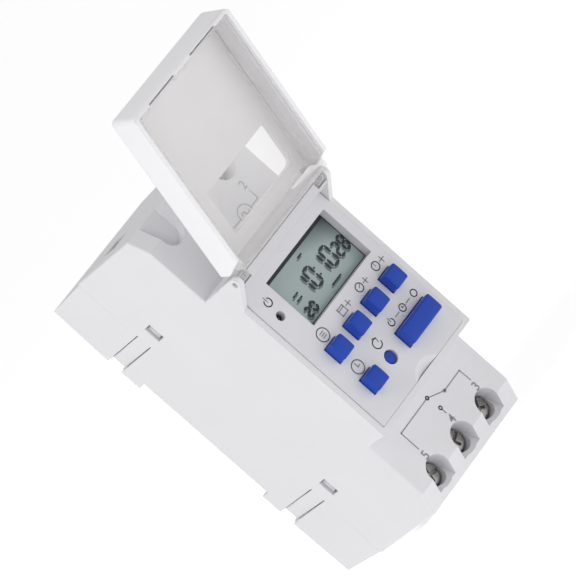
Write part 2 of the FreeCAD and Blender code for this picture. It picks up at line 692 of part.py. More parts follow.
# ---------------------------------------------------------------- keys
def key_cap(left, top, width, height):
    """Return a key: crowned cap, retaining flange and stem."""
    front = PANEL_DEPTH + KEY_RISE
    back = PANEL_BACK - FIT_GAP - KEY_FLANGE_THICKNESS
    cap = block(left, left + width, back, front, top - height, top)
    cap = rounded(cap, KEY_CROWN, lambda mid, way: mid.y < -front + SEAT_GAP)
    flange = block(left - KEY_FLANGE, left + width + KEY_FLANGE, back, back + KEY_FLANGE_THICKNESS,
                   top - height - KEY_FLANGE, top + KEY_FLANGE)
    stem = rod(left + width / 2, top - height / 2, STEM_RADIUS, plunger_front() + PLUNGER_GAP, back)
    return joined([cap, flange, stem])


def plunger_front():
    """Return the depth of a switch plunger's face at rest."""
    return DISPLAY_BOARD_FRONT + SWITCH_HEIGHT + KEY_TRAVEL + 2 * PLUNGER_GAP


def reset_cap():
    """Return the round reset key, set below the panel's face."""
    radius = RESET_HOLE - KEY_GAP
    back = PANEL_BACK - FIT_GAP - KEY_FLANGE_THICKNESS
    cap = rod(RESET_X, RESET_Z, radius, back, PANEL_DEPTH - RESET_SETBACK)
    flange = rod(RESET_X, RESET_Z, radius + KEY_FLANGE, back, back + KEY_FLANGE_THICKNESS)
    stem = rod(RESET_X, RESET_Z, STEM_RADIUS, plunger_front() + PLUNGER_GAP, back)
    return joined([cap, flange, stem])


def switch_places():
    """Return name and (x, z) of the switch under each key."""
    places = [(name, left + width / 2, top - height / 2)
              for name, left, top, width, height in key_outlines()]
    return places + [("reset_key", RESET_X, RESET_Z)]


def switch_body(x, z):
    """Return one push switch's case, with the bore that its plunger slides in."""
    half = SWITCH_SIZE / 2
    front = DISPLAY_BOARD_FRONT + SWITCH_HEIGHT
    case = block(x - half, x + half, DISPLAY_BOARD_FRONT, front, z - half, z + half)
    case = rounded(case, EDGE_ROUND, lambda mid, way: abs(way.y) > 0.9)
    bore = rod(x, z, PLUNGER_RADIUS + PLUNGER_GAP, front - KEY_TRAVEL - 4 * PLUNGER_GAP - PLUNGER_LENGTH,
               front + OVERCUT)
    return case.cut(bore)


def switch_plunger(x, z):
    """Return one push switch's plunger, which travels with its key."""
    front = DISPLAY_BOARD_FRONT + SWITCH_HEIGHT
    return rod(x, z, PLUNGER_RADIUS, front - PLUNGER_LENGTH, plunger_front())


def make_keys():
    """Write every key and the plunger of its switch."""
    for name, left, top, width, height in key_outlines():
        save(name, [key_cap(left, top, width, height)])
    save("reset_key", [reset_cap()])
    for name, x, z in switch_places():
        save(name.replace("_key", "_plunger"), [switch_plunger(x, z)])
    save("push_switches", [switch_body(x, z) for _, x, z in switch_places()])


# ---------------------------------------------------------------- display
def make_lcd_glass():
    """Return the display glass, larger than its window all round."""
    return block(LCD_LEFT - LCD_MARGIN, LCD_RIGHT + LCD_MARGIN, LCD_FRONT - LCD_THICKNESS,
                 LCD_FRONT - SEAT_GAP, LCD_BOTTOM - LCD_MARGIN, LCD_TOP + LCD_MARGIN)


def make_lcd_reflector():
    """Return the reflecting sheet behind the display glass."""
    back = LCD_FRONT - LCD_THICKNESS
    return block(LCD_LEFT, LCD_RIGHT, back - REFLECTOR_THICKNESS, back - SEAT_GAP,
                 LCD_BOTTOM + 2 * STRIP_OVERLAP, LCD_TOP - 2 * STRIP_OVERLAP)


def make_zebra_strips():
    """Return the two rubber contact strips between glass and board."""
    back = DISPLAY_BOARD_FRONT + SEAT_GAP
    front = LCD_FRONT - LCD_THICKNESS - SEAT_GAP
    strips = []
    for low in (LCD_BOTTOM + STRIP_OVERLAP - STRIP_HEIGHT, LCD_TOP - STRIP_OVERLAP):
        strips.append(block(LCD_LEFT, LCD_RIGHT, back, front, low, low + STRIP_HEIGHT))
    return strips


def make_lcd_holder():
    """Return the frame that holds the glass on the display board."""
    gap = FIT_GAP
    left = LCD_LEFT - LCD_MARGIN - gap
    right = LCD_RIGHT + LCD_MARGIN + gap
    low = LCD_BOTTOM - LCD_MARGIN - gap
    high = LCD_TOP + LCD_MARGIN + gap
    front = LCD_FRONT - HOLDER_SETBACK
    frame = block(left - HOLDER_WALL, right + HOLDER_WALL, DISPLAY_BOARD_FRONT + SEAT_GAP, front,
                  low - HOLDER_WALL, high + HOLDER_WALL)
    return frame.cut(block(left, right, DISPLAY_BOARD_FRONT - OVERCUT, front + OVERCUT, low, high))


def make_status_led():
    """Return the indicator lamp: domed lens on a wider foot."""
    tip = PANEL_DEPTH - LED_SETBACK
    foot_front = DISPLAY_BOARD_FRONT + LED_FOOT_HEIGHT
    lens = rod(LED_X, LED_Z, LED_RADIUS, foot_front, tip - LED_RADIUS)
    dome = Part.makeSphere(LED_RADIUS, FreeCAD.Vector(LED_X, -(tip - LED_RADIUS), LED_Z))
    foot = rod(LED_X, LED_Z, LED_RADIUS + LED_FLANGE, DISPLAY_BOARD_FRONT + SEAT_GAP, foot_front)
    return joined([lens, dome, foot])


# ---------------------------------------------------------------- lid
def lid_block(x0, x1, d0, d1, s0, s1):
    """Return a box of the closed lid: d in front of the hinge axis, s below it."""
    return block(x0, x1, HINGE_DEPTH + d0, HINGE_DEPTH + d1, HINGE_Z - s0, HINGE_Z - s1)


def lid_length():
    """Return how far the closed lid reaches below the hinge axis."""
    return HINGE_Z + HALF_TOWER


def lid_rim():
    """Return the rim's place along d, behind the hinge axis."""
    return LEDGE_DEPTH + LID_RIM_GAP - HINGE_DEPTH


def opened(shape):
    """Turn a closed-lid shape about the hinge to the resting, open pose."""
    turned = shape.copy()
    turned.rotate(FreeCAD.Vector(0, -HINGE_DEPTH, HINGE_Z), FreeCAD.Vector(1, 0, 0), -LID_OPEN_ANGLE)
    return turned


def ear_clearance():
    """Return the part of the closed lid's side walls that the ears need."""
    slope = math.radians(EAR_SLOPE)
    reach = EAR_RADIUS + LID_EAR_GAP
    start = (HINGE_DEPTH + reach * math.sin(slope), HINGE_Z - reach * math.cos(slope))
    across = EAR_ROOM_RUN * math.cos(slope)
    along = EAR_ROOM_RUN * math.sin(slope)
    front = start[0] + EAR_ROOM
    wedge = prism([(start[0] - across, start[1] - along), (front, start[1] + EAR_ROOM * math.tan(slope)),
                   (front, start[1] + along), (start[0] - across, start[1] + along)],
                  HALF_WIDTH - EAR_THICKNESS - SLIDE_GAP, HALF_WIDTH + OVERCUT)
    return both_sides(wedge)


def make_lid_frame():
    """Return the white lid: face with a window, two side walls and the far wall."""
    outer = lid_block(-HALF_WIDTH, HALF_WIDTH, lid_rim(), LID_FACE, LID_START, lid_length())
    far_z = HINGE_Z - lid_length()
    outer = rounded(outer, LID_CORNER, lambda mid, way: (mid.y < -HINGE_DEPTH - LID_FACE + SEAT_GAP
                    and mid.z < HINGE_Z - LID_START - SEAT_GAP)
                    or (abs(way.y) > 0.9 and mid.z < far_z + SEAT_GAP))
    inner_x = HALF_WIDTH - LID_WALL
    hollow = lid_block(-inner_x, inner_x, lid_rim() - OVERCUT, LID_FACE - LID_PLATE, LID_START - OVERCUT,
                       lid_length() - LID_WALL)
    window = lid_block(WINDOW_LEFT, WINDOW_RIGHT, 0, LID_FACE + OVERCUT, WINDOW_NEAR, WINDOW_FAR)
    corner_z = HINGE_Z - WINDOW_NEAR
    window = rounded(window, WINDOW_CORNER, lambda mid, way: abs(way.y) > 0.9
                     and mid.x > 0 and mid.z > corner_z - SEAT_GAP)
    return without(outer, [hollow, window] + ear_clearance())


def lid_lug():
    """Return the right-hand hinge lug and pin of the lid's liner."""
    outer = HALF_WIDTH - EAR_THICKNESS - 2 * SLIDE_GAP
    inner = outer - LUG_WIDTH
    eye = rod_x(HINGE_DEPTH, HINGE_Z, LUG_RADIUS, inner, outer)
    arm = lid_block(inner, outer, LUG_RADIUS / 2, LID_FACE - LID_PLATE, -SLIDE_GAP, LID_START + LUG_OVERLAP)
    pin = rod_x(HINGE_DEPTH, HINGE_Z, PIN_RADIUS, outer, HALF_WIDTH - PIN_SETBACK)
    return joined([eye, arm, pin])


def make_lid_liner():
    """Return the clear liner: floor, walls, hinge lugs and pins."""
    half = HALF_WIDTH - LID_WALL - LINER_GAP
    near = LID_START + FIT_GAP
    far = lid_length() - LID_WALL - LINER_GAP
    rim = lid_rim() + LINER_SETBACK
    floor = LID_FACE - LID_PLATE - SEAT_GAP
    outer = lid_block(-half, half, rim, floor, near, far)
    hollow = lid_block(-half + LINER_THICKNESS, half - LINER_THICKNESS, rim - OVERCUT,
                       floor - LINER_THICKNESS, near + LINER_THICKNESS, far - LINER_THICKNESS)
    catches = lid_block(CATCH_INNER, CATCH_INNER + CATCH_LENGTH, rim - OVERCUT, rim + CATCH_DEPTH,
                        far - CATCH_NOTCH, far + OVERCUT)
    tray = without(outer, [hollow] + both_sides(catches) + ear_clearance())
    return joined([tray] + both_sides(lid_lug()))


# ---------------------------------------------------------------- terminals
def terminal_screw(x, z):
    """Return a terminal screw with a cross recess, its head below the shoulder."""
    head_front = SHOULDER_DEPTH - SCREW_SETBACK
    head_back = head_front - SCREW_HEAD_HEIGHT
    head = rod(x, z, SCREW_HEAD_RADIUS, head_back, head_front)
    shank = rod(x, z, SCREW_RADIUS, BAR_FRONT + SCREW_GAP, head_back)
    long = SCREW_HEAD_RADIUS * RECESS_REACH
    short = RECESS_WIDTH / 2
    middle = RECESS_CENTRE / 2
    cuts = []
    for half_x, half_z, deep in ((long, short, RECESS_DEPTH), (short, long, RECESS_DEPTH),
                                 (middle, middle, RECESS_PIT)):
        cuts.append(block(x - half_x, x + half_x, head_front - deep, head_front + OVERCUT,
                          z - half_z, z + half_z))
    return without(joined([head, shank]), cuts)


def terminal_cage(x, z):
    """Return the clamp cage that rises along the screw and grips the wire."""
    half_x = CAGE_WIDTH / 2
    half_z = CAGE_HEIGHT / 2
    outer = block(x - half_x, x + half_x, CAGE_BOTTOM, CAGE_TOP, z - half_z, z + half_z)
    window = block(x - half_x + CAGE_WALL, x + half_x - CAGE_WALL, CAGE_BOTTOM + CAGE_PLATE,
                   CAGE_TOP - CAGE_PLATE, z - half_z - OVERCUT, z + half_z + OVERCUT)
    thread = rod(x, z, SCREW_RADIUS + SCREW_GAP, CAGE_TOP - CAGE_PLATE - OVERCUT, CAGE_TOP + OVERCUT)
    return without(outer, [window, thread])


def contact_bar(x, z):
    """Return the fixed brass bar of one terminal, with its leg to the board."""
    end = math.copysign(1, z)
    inner = end * (POWER_BOARD_HEIGHT / 2 - BAR_LAP)
    tip = end * (TERMINAL_Z + CAGE_HEIGHT / 2)
    half = BAR_WIDTH / 2
    flat = block(x - half, x + half, BAR_FRONT - BAR_THICKNESS, BAR_FRONT, inner, tip)
    leg = block(x - half, x + half, POWER_BOARD_FRONT, BAR_FRONT, inner - end * BAR_THICKNESS, inner)
    return joined([flat, leg])


def make_terminals():
    """Write the screws, cages and bars of the five terminals."""
    for number, (x, z) in enumerate(terminal_places(), start=1):
        save("terminal_screw_%d" % number, [terminal_screw(x, z)])
        save("terminal_cage_%d" % number, [terminal_cage(x, z)])
    save("contact_bars", [contact_bar(x, z) for x, z in terminal_places()])


# ---------------------------------------------------------------- boards and what they carry
def make_power_board():
    """Return the mains board."""
    half_x = BOARD_WIDTH / 2
    half_z = POWER_BOARD_HEIGHT / 2
    board = block(-half_x, half_x, POWER_BOARD_DEPTH, POWER_BOARD_FRONT, -half_z, half_z)
    arm = SNAP_CENTRE - ARM_WIDTH / 2 - SLIDE_GAP
    notch = block(INNER_X - 2 * SLIDE_GAP - ARM_THICKNESS, HALF_WIDTH, POWER_BOARD_DEPTH - OVERCUT,
                  POWER_BOARD_FRONT + OVERCUT, arm, arm + ARM_WIDTH + 2 * SLIDE_GAP)
    return without(board, [end for side in both_sides(notch) for end in both_ends(side)])


def make_display_board():
    """Return the board behind the keys and the display."""
    half_x = BOARD_WIDTH / 2
    half_z = DISPLAY_BOARD_HEIGHT / 2
    return block(-half_x, half_x, DISPLAY_BOARD_BACK, DISPLAY_BOARD_FRONT, -half_z, half_z)


def make_riser_board():
    """Return the upright board that joins the two others."""
    return block(-RISER_WIDTH / 2, RISER_WIDTH / 2, POWER_BOARD_FRONT + SEAT_GAP,
                 DISPLAY_BOARD_BACK - SEAT_GAP, RISER_Z, RISER_Z + RISER_THICKNESS)


def make_barrier_sheet():
    """Return the insulating sheet between mains parts and display board."""
    half_z = HALF_TOWER - TOWER_END_WALL - FIT_GAP
    sheet = block(-BOARD_WIDTH / 2, BOARD_WIDTH / 2, BARRIER_DEPTH, BARRIER_DEPTH + BARRIER_THICKNESS,
                  -half_z, half_z)
    slot = block(-RISER_WIDTH / 2 - RISER_GAP, RISER_WIDTH / 2 + RISER_GAP, BARRIER_DEPTH - OVERCUT,
                 BARRIER_DEPTH + 2 * OVERCUT, RISER_Z - RISER_GAP, RISER_Z + RISER_THICKNESS + RISER_GAP)
    return sheet.cut(slot)


def make_board_screws():
    """Return the two screws that hold the mains board to the rear base."""
    screws = []
    front = POWER_BOARD_FRONT + BOARD_SCREW_HEIGHT
    half = BOARD_SCREW_SLOT / 2
    for x, z in ((BOARD_SCREW_X, BOARD_SCREW_Z), (-BOARD_SCREW_X, -BOARD_SCREW_Z)):
        head = rod(x, z, BOARD_SCREW_HEAD, POWER_BOARD_FRONT + SEAT_GAP, front)
        slot = block(x - BOARD_SCREW_HEAD, x + BOARD_SCREW_HEAD, front - BOARD_SCREW_SLOT_DEPTH,
                     front + OVERCUT, z - half, z + half)
        screws.append(head.cut(slot))
    return screws


def make_relay():
    """Write the relay: base, cover, yoke, core, coil, armature and contacts."""
    x0 = RELAY_X - RELAY_WIDTH / 2
    x1 = RELAY_X + RELAY_WIDTH / 2
    half = RELAY_LENGTH / 2
    floor = POWER_BOARD_FRONT + SEAT_GAP
    top = floor + RELAY_HEIGHT
    seat = floor + RELAY_BASE + SEAT_GAP
    save("relay_base", [block(x0, x1, floor, floor + RELAY_BASE, -half, half)])
    cover = block(x0, x1, seat, top, -half, half)
    room = block(x0 + RELAY_WALL, x1 - RELAY_WALL, floor, top - RELAY_WALL,
                 -half + RELAY_WALL, half - RELAY_WALL)
    save("relay_cover", [cover.cut(room)])
    low = RELAY_X - YOKE_WIDTH / 2
    high = RELAY_X + YOKE_WIDTH / 2
    bearing_z = ARMATURE_Z - ARMATURE_BEARING - FIT_GAP
    bearing = rod_x(seat + YOKE_THICKNESS, bearing_z, ARMATURE_BEARING, low, high)
    yoke = joined([block(low, high, seat, seat + YOKE_THICKNESS, YOKE_END, ARMATURE_Z - FIT_GAP),
                   block(low, high, seat, seat + YOKE_HEIGHT, YOKE_END, YOKE_END + YOKE_THICKNESS), bearing])
    save("relay_yoke", [yoke])
    axis = seat + COIL_AXIS
    core_start = YOKE_END + YOKE_THICKNESS + SEAT_GAP
    save("relay_core", [rod_z(RELAY_X, axis, CORE_RADIUS, core_start, ARMATURE_Z - ARMATURE_GAP)])
    bore = rod_z(RELAY_X, axis, CORE_RADIUS + SEAT_GAP, YOKE_END, ARMATURE_Z)
    coil = rod_z(RELAY_X, axis, COIL_RADIUS, core_start + COIL_FLANGE, ARMATURE_Z - 2 * ARMATURE_GAP)
    save("relay_coil", [coil.cut(bore)])
    save_contacts(seat, low, high)


def save_contacts(seat, low, high):
    """Write the relay's armature, moving contact and fixed contact."""
    front = seat + YOKE_HEIGHT
    armature = block(low, high, seat + YOKE_THICKNESS + CONTACT_LEAF, front,
                     ARMATURE_Z, ARMATURE_Z + ARMATURE_THICKNESS)
    save("relay_armature", [armature])
    left = RELAY_X - CONTACT_RADIUS
    right = RELAY_X + CONTACT_RADIUS
    contact_depth = front + CONTACT_OFFSET
    button_bottom = ARMATURE_Z - CONTACT_PROUD
    leaf_z = ARMATURE_Z + ARMATURE_THICKNESS + SEAT_GAP
    leaf = block(left, right, seat + LEAF_BACK, contact_depth + CONTACT_RADIUS, leaf_z, leaf_z + CONTACT_LEAF)
    button = rod_z(RELAY_X, contact_depth, CONTACT_RADIUS, button_bottom, leaf_z + FIT_GAP)
    save("moving_contact", [joined([leaf, button])])
    strip_back = contact_depth - CONTACT_PAD
    strip_front = strip_back + CONTACT_STRIP
    strip_end = YOKE_END - CONTACT_START
    pad_top = button_bottom - CONTACT_GAP
    strip = block(left, right, strip_back, strip_front, strip_end, pad_top - FIT_GAP)
    riser = block(left, right, seat, strip_front, strip_end, strip_end + CONTACT_RISER)
    pad = rod_z(RELAY_X, contact_depth, CONTACT_RADIUS, pad_top - CONTACT_PAD, pad_top)
    save("fixed_contact", [joined([strip, riser, pad])])


def make_power_parts():
    """Write the parts soldered to the mains board beside the relay."""
    floor = POWER_BOARD_FRONT + SEAT_GAP
    film = block(FILM_LEFT, FILM_RIGHT, floor, floor + FILM_HEIGHT, FILM_BOTTOM, FILM_TOP)
    save("film_capacitor", [rounded(film, FILM_CORNER, lambda mid, way: abs(way.y) > 0.9)])
    cans = [rod(x, z, radius, floor, floor + height) for x, z, radius, height in CANS]
    save("electrolytic_capacitors", cans)
    save("varistor", [rod_z(VARISTOR_X, floor + VARISTOR_STAND, VARISTOR_RADIUS,
                            VARISTOR_BOTTOM, VARISTOR_TOP)])
    save("fuse_resistor", [rod_x(floor + FUSE_STAND, FUSE_Z, FUSE_RADIUS, FUSE_LEFT, FUSE_RIGHT)])
    diodes = []
    for index in range(DIODE_COUNT):
        low = DIODE_BOTTOM + index * DIODE_PITCH
        diodes.append(rod_z(DIODE_X, floor + DIODE_STAND, DIODE_RADIUS, low, low + DIODE_LENGTH))
    save("rectifier_diodes", diodes)


def make_display_parts():
    """Write the parts on the back of the display board."""
    back = DISPLAY_BOARD_BACK - SEAT_GAP
    half = CHIP_SIZE / 2
    chip = [block(-half, half, back - CHIP_THICKNESS, back, CHIP_BOTTOM, CHIP_BOTTOM + CHIP_SIZE)]
    pitch = CHIP_SIZE / (CHIP_PIN_COUNT + 1)
    for index in range(1, CHIP_PIN_COUNT + 1):
        low = CHIP_BOTTOM + index * pitch - CHIP_PIN_WIDTH / 2
        chip.append(block(-half - CHIP_PIN_REACH, half + CHIP_PIN_REACH, back - CHIP_PIN_BOTTOM,
                          back - CHIP_PIN_TOP, low, low + CHIP_PIN_WIDTH))
    save("microcontroller", [joined(chip)])
    save("crystal", [rod_z(CRYSTAL_X, back - CRYSTAL_RADIUS - FIT_GAP, CRYSTAL_RADIUS,
                           CRYSTAL_BOTTOM, CRYSTAL_TOP)])
    save("backup_cell", [rod(CELL_X, CELL_Z, CELL_RADIUS, back - CELL_THICKNESS, back)])


# ---------------------------------------------------------------- build
def main():
    """Write every node of the time switch."""
    os.makedirs("parts", exist_ok=True)
    save("housing", [make_housing()])
    save("rear_base", [make_rear_base()])
    save("din_clip", [make_din_clip()])
    save("clip_spring", [make_clip_spring()])
    save("front_panel", [make_front_panel()])
    make_keys()
    save("lcd_glass", [make_lcd_glass()])
    save("lcd_reflector", [make_lcd_reflector()])
    save("zebra_strips", make_zebra_strips())
    save("lcd_holder", [make_lcd_holder()])
    save("status_led", [make_status_led()])
    save("lid_frame", [opened(make_lid_frame())])
    save("lid_liner", [opened(make_lid_liner())])
    make_terminals()
    save("power_board", [make_power_board()])
    save("display_board", [make_display_board()])
    save("riser_board", [make_riser_board()])
    save("barrier_sheet", [make_barrier_sheet()])
    save("board_screws", make_board_screws())
    make_relay()
    make_power_parts()
    make_display_parts()


main()
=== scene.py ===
"""A two-module rail-mounted time switch with a hinged lid: its looks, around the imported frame."""

from __future__ import annotations

import json
import logging
import math
from dataclasses import dataclass
from enum import Enum
from typing import Any, Callable, Iterable, Sequence

import bmesh
import bpy
from mathutils import Matrix, Vector

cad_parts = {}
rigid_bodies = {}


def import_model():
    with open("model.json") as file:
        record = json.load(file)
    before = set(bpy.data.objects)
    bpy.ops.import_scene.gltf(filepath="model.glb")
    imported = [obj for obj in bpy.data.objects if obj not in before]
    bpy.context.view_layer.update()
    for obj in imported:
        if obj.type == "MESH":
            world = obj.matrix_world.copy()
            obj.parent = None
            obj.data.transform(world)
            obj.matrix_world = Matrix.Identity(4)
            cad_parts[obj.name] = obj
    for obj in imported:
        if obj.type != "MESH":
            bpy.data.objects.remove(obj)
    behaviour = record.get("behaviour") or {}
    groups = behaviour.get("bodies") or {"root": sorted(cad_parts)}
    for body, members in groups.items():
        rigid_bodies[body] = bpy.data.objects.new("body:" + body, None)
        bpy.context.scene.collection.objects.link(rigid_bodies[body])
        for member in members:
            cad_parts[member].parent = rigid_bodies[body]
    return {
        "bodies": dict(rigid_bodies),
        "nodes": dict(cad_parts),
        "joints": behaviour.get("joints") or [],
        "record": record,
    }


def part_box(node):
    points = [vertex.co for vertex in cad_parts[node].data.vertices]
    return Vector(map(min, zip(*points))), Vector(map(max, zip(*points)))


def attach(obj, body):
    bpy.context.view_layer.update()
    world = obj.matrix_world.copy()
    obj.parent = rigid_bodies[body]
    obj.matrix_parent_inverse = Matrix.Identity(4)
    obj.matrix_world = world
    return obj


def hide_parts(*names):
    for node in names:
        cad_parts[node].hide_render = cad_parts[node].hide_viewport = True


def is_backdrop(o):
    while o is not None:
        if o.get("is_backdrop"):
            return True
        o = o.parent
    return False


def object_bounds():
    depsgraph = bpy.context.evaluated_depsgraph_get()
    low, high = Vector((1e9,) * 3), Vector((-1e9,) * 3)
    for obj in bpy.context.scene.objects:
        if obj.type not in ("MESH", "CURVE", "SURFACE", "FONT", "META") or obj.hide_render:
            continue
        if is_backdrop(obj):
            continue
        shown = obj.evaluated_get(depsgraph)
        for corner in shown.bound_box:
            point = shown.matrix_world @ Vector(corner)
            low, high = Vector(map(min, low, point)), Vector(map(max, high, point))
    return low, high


LOG = logging.getLogger("time_switch")

MM = 0.001
Colour = tuple[float, float, float]
Point = tuple[float, float, float]
Spot = tuple[float, float]


class Facing(Enum):
    """The row axes that a turned or extruded shape can follow."""

    X = "X"
    Y = "Y"
    Z = "Z"

    def vector(self) -> Vector:
        """Return the axis as a unit vector."""
        return Vector([float(letter is self) for letter in Facing])


# --------------------------------------------------------------------------- shader nodes
class Value:
    """A node socket that takes part in Python sums."""

    def __init__(self, book: NodeBook, socket: bpy.types.NodeSocket) -> None:
        """Keep the socket and the tree that it belongs to.

        Args:
            book: The material's node tree.
            socket: The output socket that holds the value.
        """
        self.book = book
        self.socket = socket

    def _sum(self, operation: str, first: Any, second: Any) -> Value:
        """Add one Math node.

        Args:
            operation: The Math node's operation.
            first: A Value or a number.
            second: A Value or a number.

        Returns:
            The node's result.
        """
        node = self.book.make("ShaderNodeMath", {"operation": operation}, {0: first, 1: second})
        return Value(self.book, node.outputs[0])

    def __add__(self, other: Any) -> Value:
        """Return self + other."""
        return self._sum("ADD", self, other)

    __radd__ = __add__

    def __sub__(self, other: Any) -> Value:
        """Return self - other."""
        return self._sum("SUBTRACT", self, other)

    def __rsub__(self, other: Any) -> Value:
        """Return other - self."""
        return self._sum("SUBTRACT", other, self)

    def __mul__(self, other: Any) -> Value:
        """Return self * other."""
        return self._sum("MULTIPLY", self, other)

    __rmul__ = __mul__

    def __truediv__(self, other: Any) -> Value:
        """Return self / other."""
        return self._sum("DIVIDE", self, other)

    def over(self, limit: float) -> Value:
        """Return 1 where the value is above a limit, and 0 elsewhere."""
        return self._sum("GREATER_THAN", self, limit)


class NodeBook:
    """The node tree of one new material."""

    def __init__(self, name: str) -> None:
        """Start a material that holds only its output.

        Args:
            name: The material's name.
        """
        self.material = bpy.data.materials.new(name)
        self.material.use_nodes = True
        self.tree = self.material.node_tree
        self.tree.nodes.clear()
        self.output = self.make("ShaderNodeOutputMaterial", {}, {})

    def make(self, kind: str, settings: dict[str, Any], inputs: dict[Any, Any]) -> bpy.types.Node:
        """Add a node, set it up and feed its sockets.

        Args:
            kind: The node's type.
            settings: Attributes of the node, set first. "stops" fills a colour ramp.
            inputs: Socket names or numbers, each with a Value or a constant.

        Returns:
            The new node.
        """
        node = self.tree.nodes.new(kind)
        for key, setting in settings.items():
            if key == "stops":
                self._fill_ramp(node, setting)
            else:
                setattr(node, key, setting)
        for key, given in inputs.items():
            if isinstance(given, Value):
                self.tree.links.new(given.socket, node.inputs[key])
            else:
                node.inputs[key].default_value = given
        return node

    @staticmethod
    def _fill_ramp(node: bpy.types.Node, stops: Sequence[tuple[float, Colour]]) -> None:
        """Give a colour ramp its stops, from the lowest place up.

        Args:
            node: The colour ramp.
            stops: Each stop's place and colour.
        """
        elements = node.color_ramp.elements
        while len(elements) < len(stops):
            elements.new(1.0)
        for element, (place, colour) in zip(elements, stops):
            element.position = place
            element.color = (*colour, 1.0)

    def value(self, node: bpy.types.Node, name: Any = 0) -> Value:
        """Return one of a node's outputs as a Value."""
        return Value(self, node.outputs[name])

    def place(self, scale: Point = (1.0, 1.0, 1.0)) -> Value:
        """Return the piece's own coordinates, stretched by a scale.

        Args:
            scale: How far each axis is stretched.

        Returns:
            The coordinates.
        """
        where = self.make("ShaderNodeTexCoord", {}, {})
        mapping = self.make(
            "ShaderNodeMapping", {}, {"Vector": self.value(where, "Object"), "Scale": scale}
        )
        return self.value(mapping)

    def noise(self, size: float, detail: float = 2.0, scale: Point = (1.0, 1.0, 1.0)) -> Value:
        """Return noise whose features are about a given size.

        Args:
            size: The feature size, in metres.
            detail: The number of finer layers.
            scale: How much the pattern is squeezed along each axis.

        Returns:
            The noise, from 0 to 1.
        """
        inputs = {"Vector": self.place(scale), "Scale": 1.0 / size, "Detail": detail}
        return self.value(self.make("ShaderNodeTexNoise", {"noise_dimensions": "3D"}, inputs))

    def blend(self, factor: Value | float, first: Any, second: Any) -> Value:
        """Return a mix of two colours.

        Args:
            factor: 0 for the first colour, 1 for the second.
            first: A colour or a Value.
            second: A colour or a Value.

        Returns:
            The mixed colour.
        """
        colours = [c if isinstance(c, Value) else (*c, 1.0) for c in (first, second)]
        inputs = {0: factor, 6: colours[0], 7: colours[1]}
        node = self.make("ShaderNodeMix", {"data_type": "RGBA"}, inputs)
        return self.value(node, 2)

    def soft_edges(self, radius: float, height: Value | None = None, strength: float = 0.0) -> Value:
        """Return a normal that rounds sharp edges and carries a fine relief.

        Args:
            radius: The radius that sharp edges appear to have, in metres.
            height: The relief, or None for a smooth surface.
            strength: How strong the relief is, from 0 to 1.

        Returns:
            The normal.
        """
        edge = self.make("ShaderNodeBevel", {"samples": 4}, {"Radius": radius})
        if height is None:
            return self.value(edge)
        inputs = {"Strength": strength, "Distance": 0.05 * MM, "Height": height,
                  "Normal": self.value(edge)}
        return self.value(self.make("ShaderNodeBump", {}, inputs))

    def surface(self, inputs: dict[Any, Any]) -> Value:
        """Add the main shader and return it."""
        return self.value(self.make("ShaderNodeBsdfPrincipled", {}, inputs))

    def close(self, shader: Value) -> bpy.types.Material:
        """Join a shader to the output and return the material."""
        self.tree.links.new(shader.socket, self.output.inputs["Surface"])
        return self.material


# --------------------------------------------------------------------------- finishes
@dataclass(frozen=True)
class Moulded:
    """Injection-moulded plastic with a fine grain, faint flow marks and soft edges."""

    name: str
    colour: Colour
    roughness: float = 0.42
    grain: float = 0.12
    grain_size: float = 0.22 * MM
    drift: float = 0.03
    edge: float = 0.22 * MM
    coat: float = 0.0
    under_skin: float = 0.0
    shine: float = 0.5

    def make(self) -> bpy.types.Material:
        """Build the material and return it.

        Returns:
            The finished material.
        """
        book = NodeBook(self.name)
        cloud = book.noise(14.0 * MM, 3.0)
        grain = book.noise(self.grain_size, 1.0)
        dark = tuple(channel * (1.0 - self.drift) for channel in self.colour)
        light = tuple(min(1.0, channel * (1.0 + self.drift)) for channel in self.colour)
        inputs = {
            "Base Color": book.blend(cloud, dark, light),
            "Roughness": cloud * 0.08 + (self.roughness - 0.04) + grain * 0.03,
            "Normal": book.soft_edges(self.edge, grain, self.grain),
            "Specular IOR Level": self.shine,
            "Coat Weight": self.coat,
            "Coat Roughness": 0.12,
            "Subsurface Weight": self.under_skin,
            "Subsurface Radius": (1.0, 0.9, 0.8),
            "Subsurface Scale": 0.6 * MM,
        }
        return book.close(book.surface(inputs))


@dataclass(frozen=True)
class ClearMoulded:
    """Clear plastic that shows what is behind it, with a faint smoke tint and gloss."""

    name: str
    tint: Colour
    body: float = 0.15
    roughness: float = 0.06
    edge: float = 0.2 * MM

    def make(self) -> bpy.types.Material:
        """Build the material and return it.

        Returns:
            The finished material.
        """
        book = NodeBook(self.name)
        cloud = book.noise(9.0 * MM, 2.0)
        ripple = book.noise(2.5 * MM, 1.0)
        normal = book.soft_edges(self.edge, ripple, 0.05)
        gloss = book.surface({
            "Base Color": book.blend(cloud, self.tint, tuple(0.93 * c for c in self.tint)),
            "Roughness": cloud * 0.06 + self.roughness,
            "Normal": normal,
            "IOR": 1.49,
        })
        through = book.value(book.make("ShaderNodeBsdfTransparent", {}, {"Color": (0.99, 0.985, 0.98, 1.0)}))
        rim = book.value(book.make("ShaderNodeLayerWeight", {}, {"Blend": 0.35, "Normal": normal}), "Facing")
        factor = rim * 0.45 + self.body
        mix = book.make("ShaderNodeMixShader", {}, {0: factor, 1: through, 2: gloss})
        return book.close(book.value(mix))


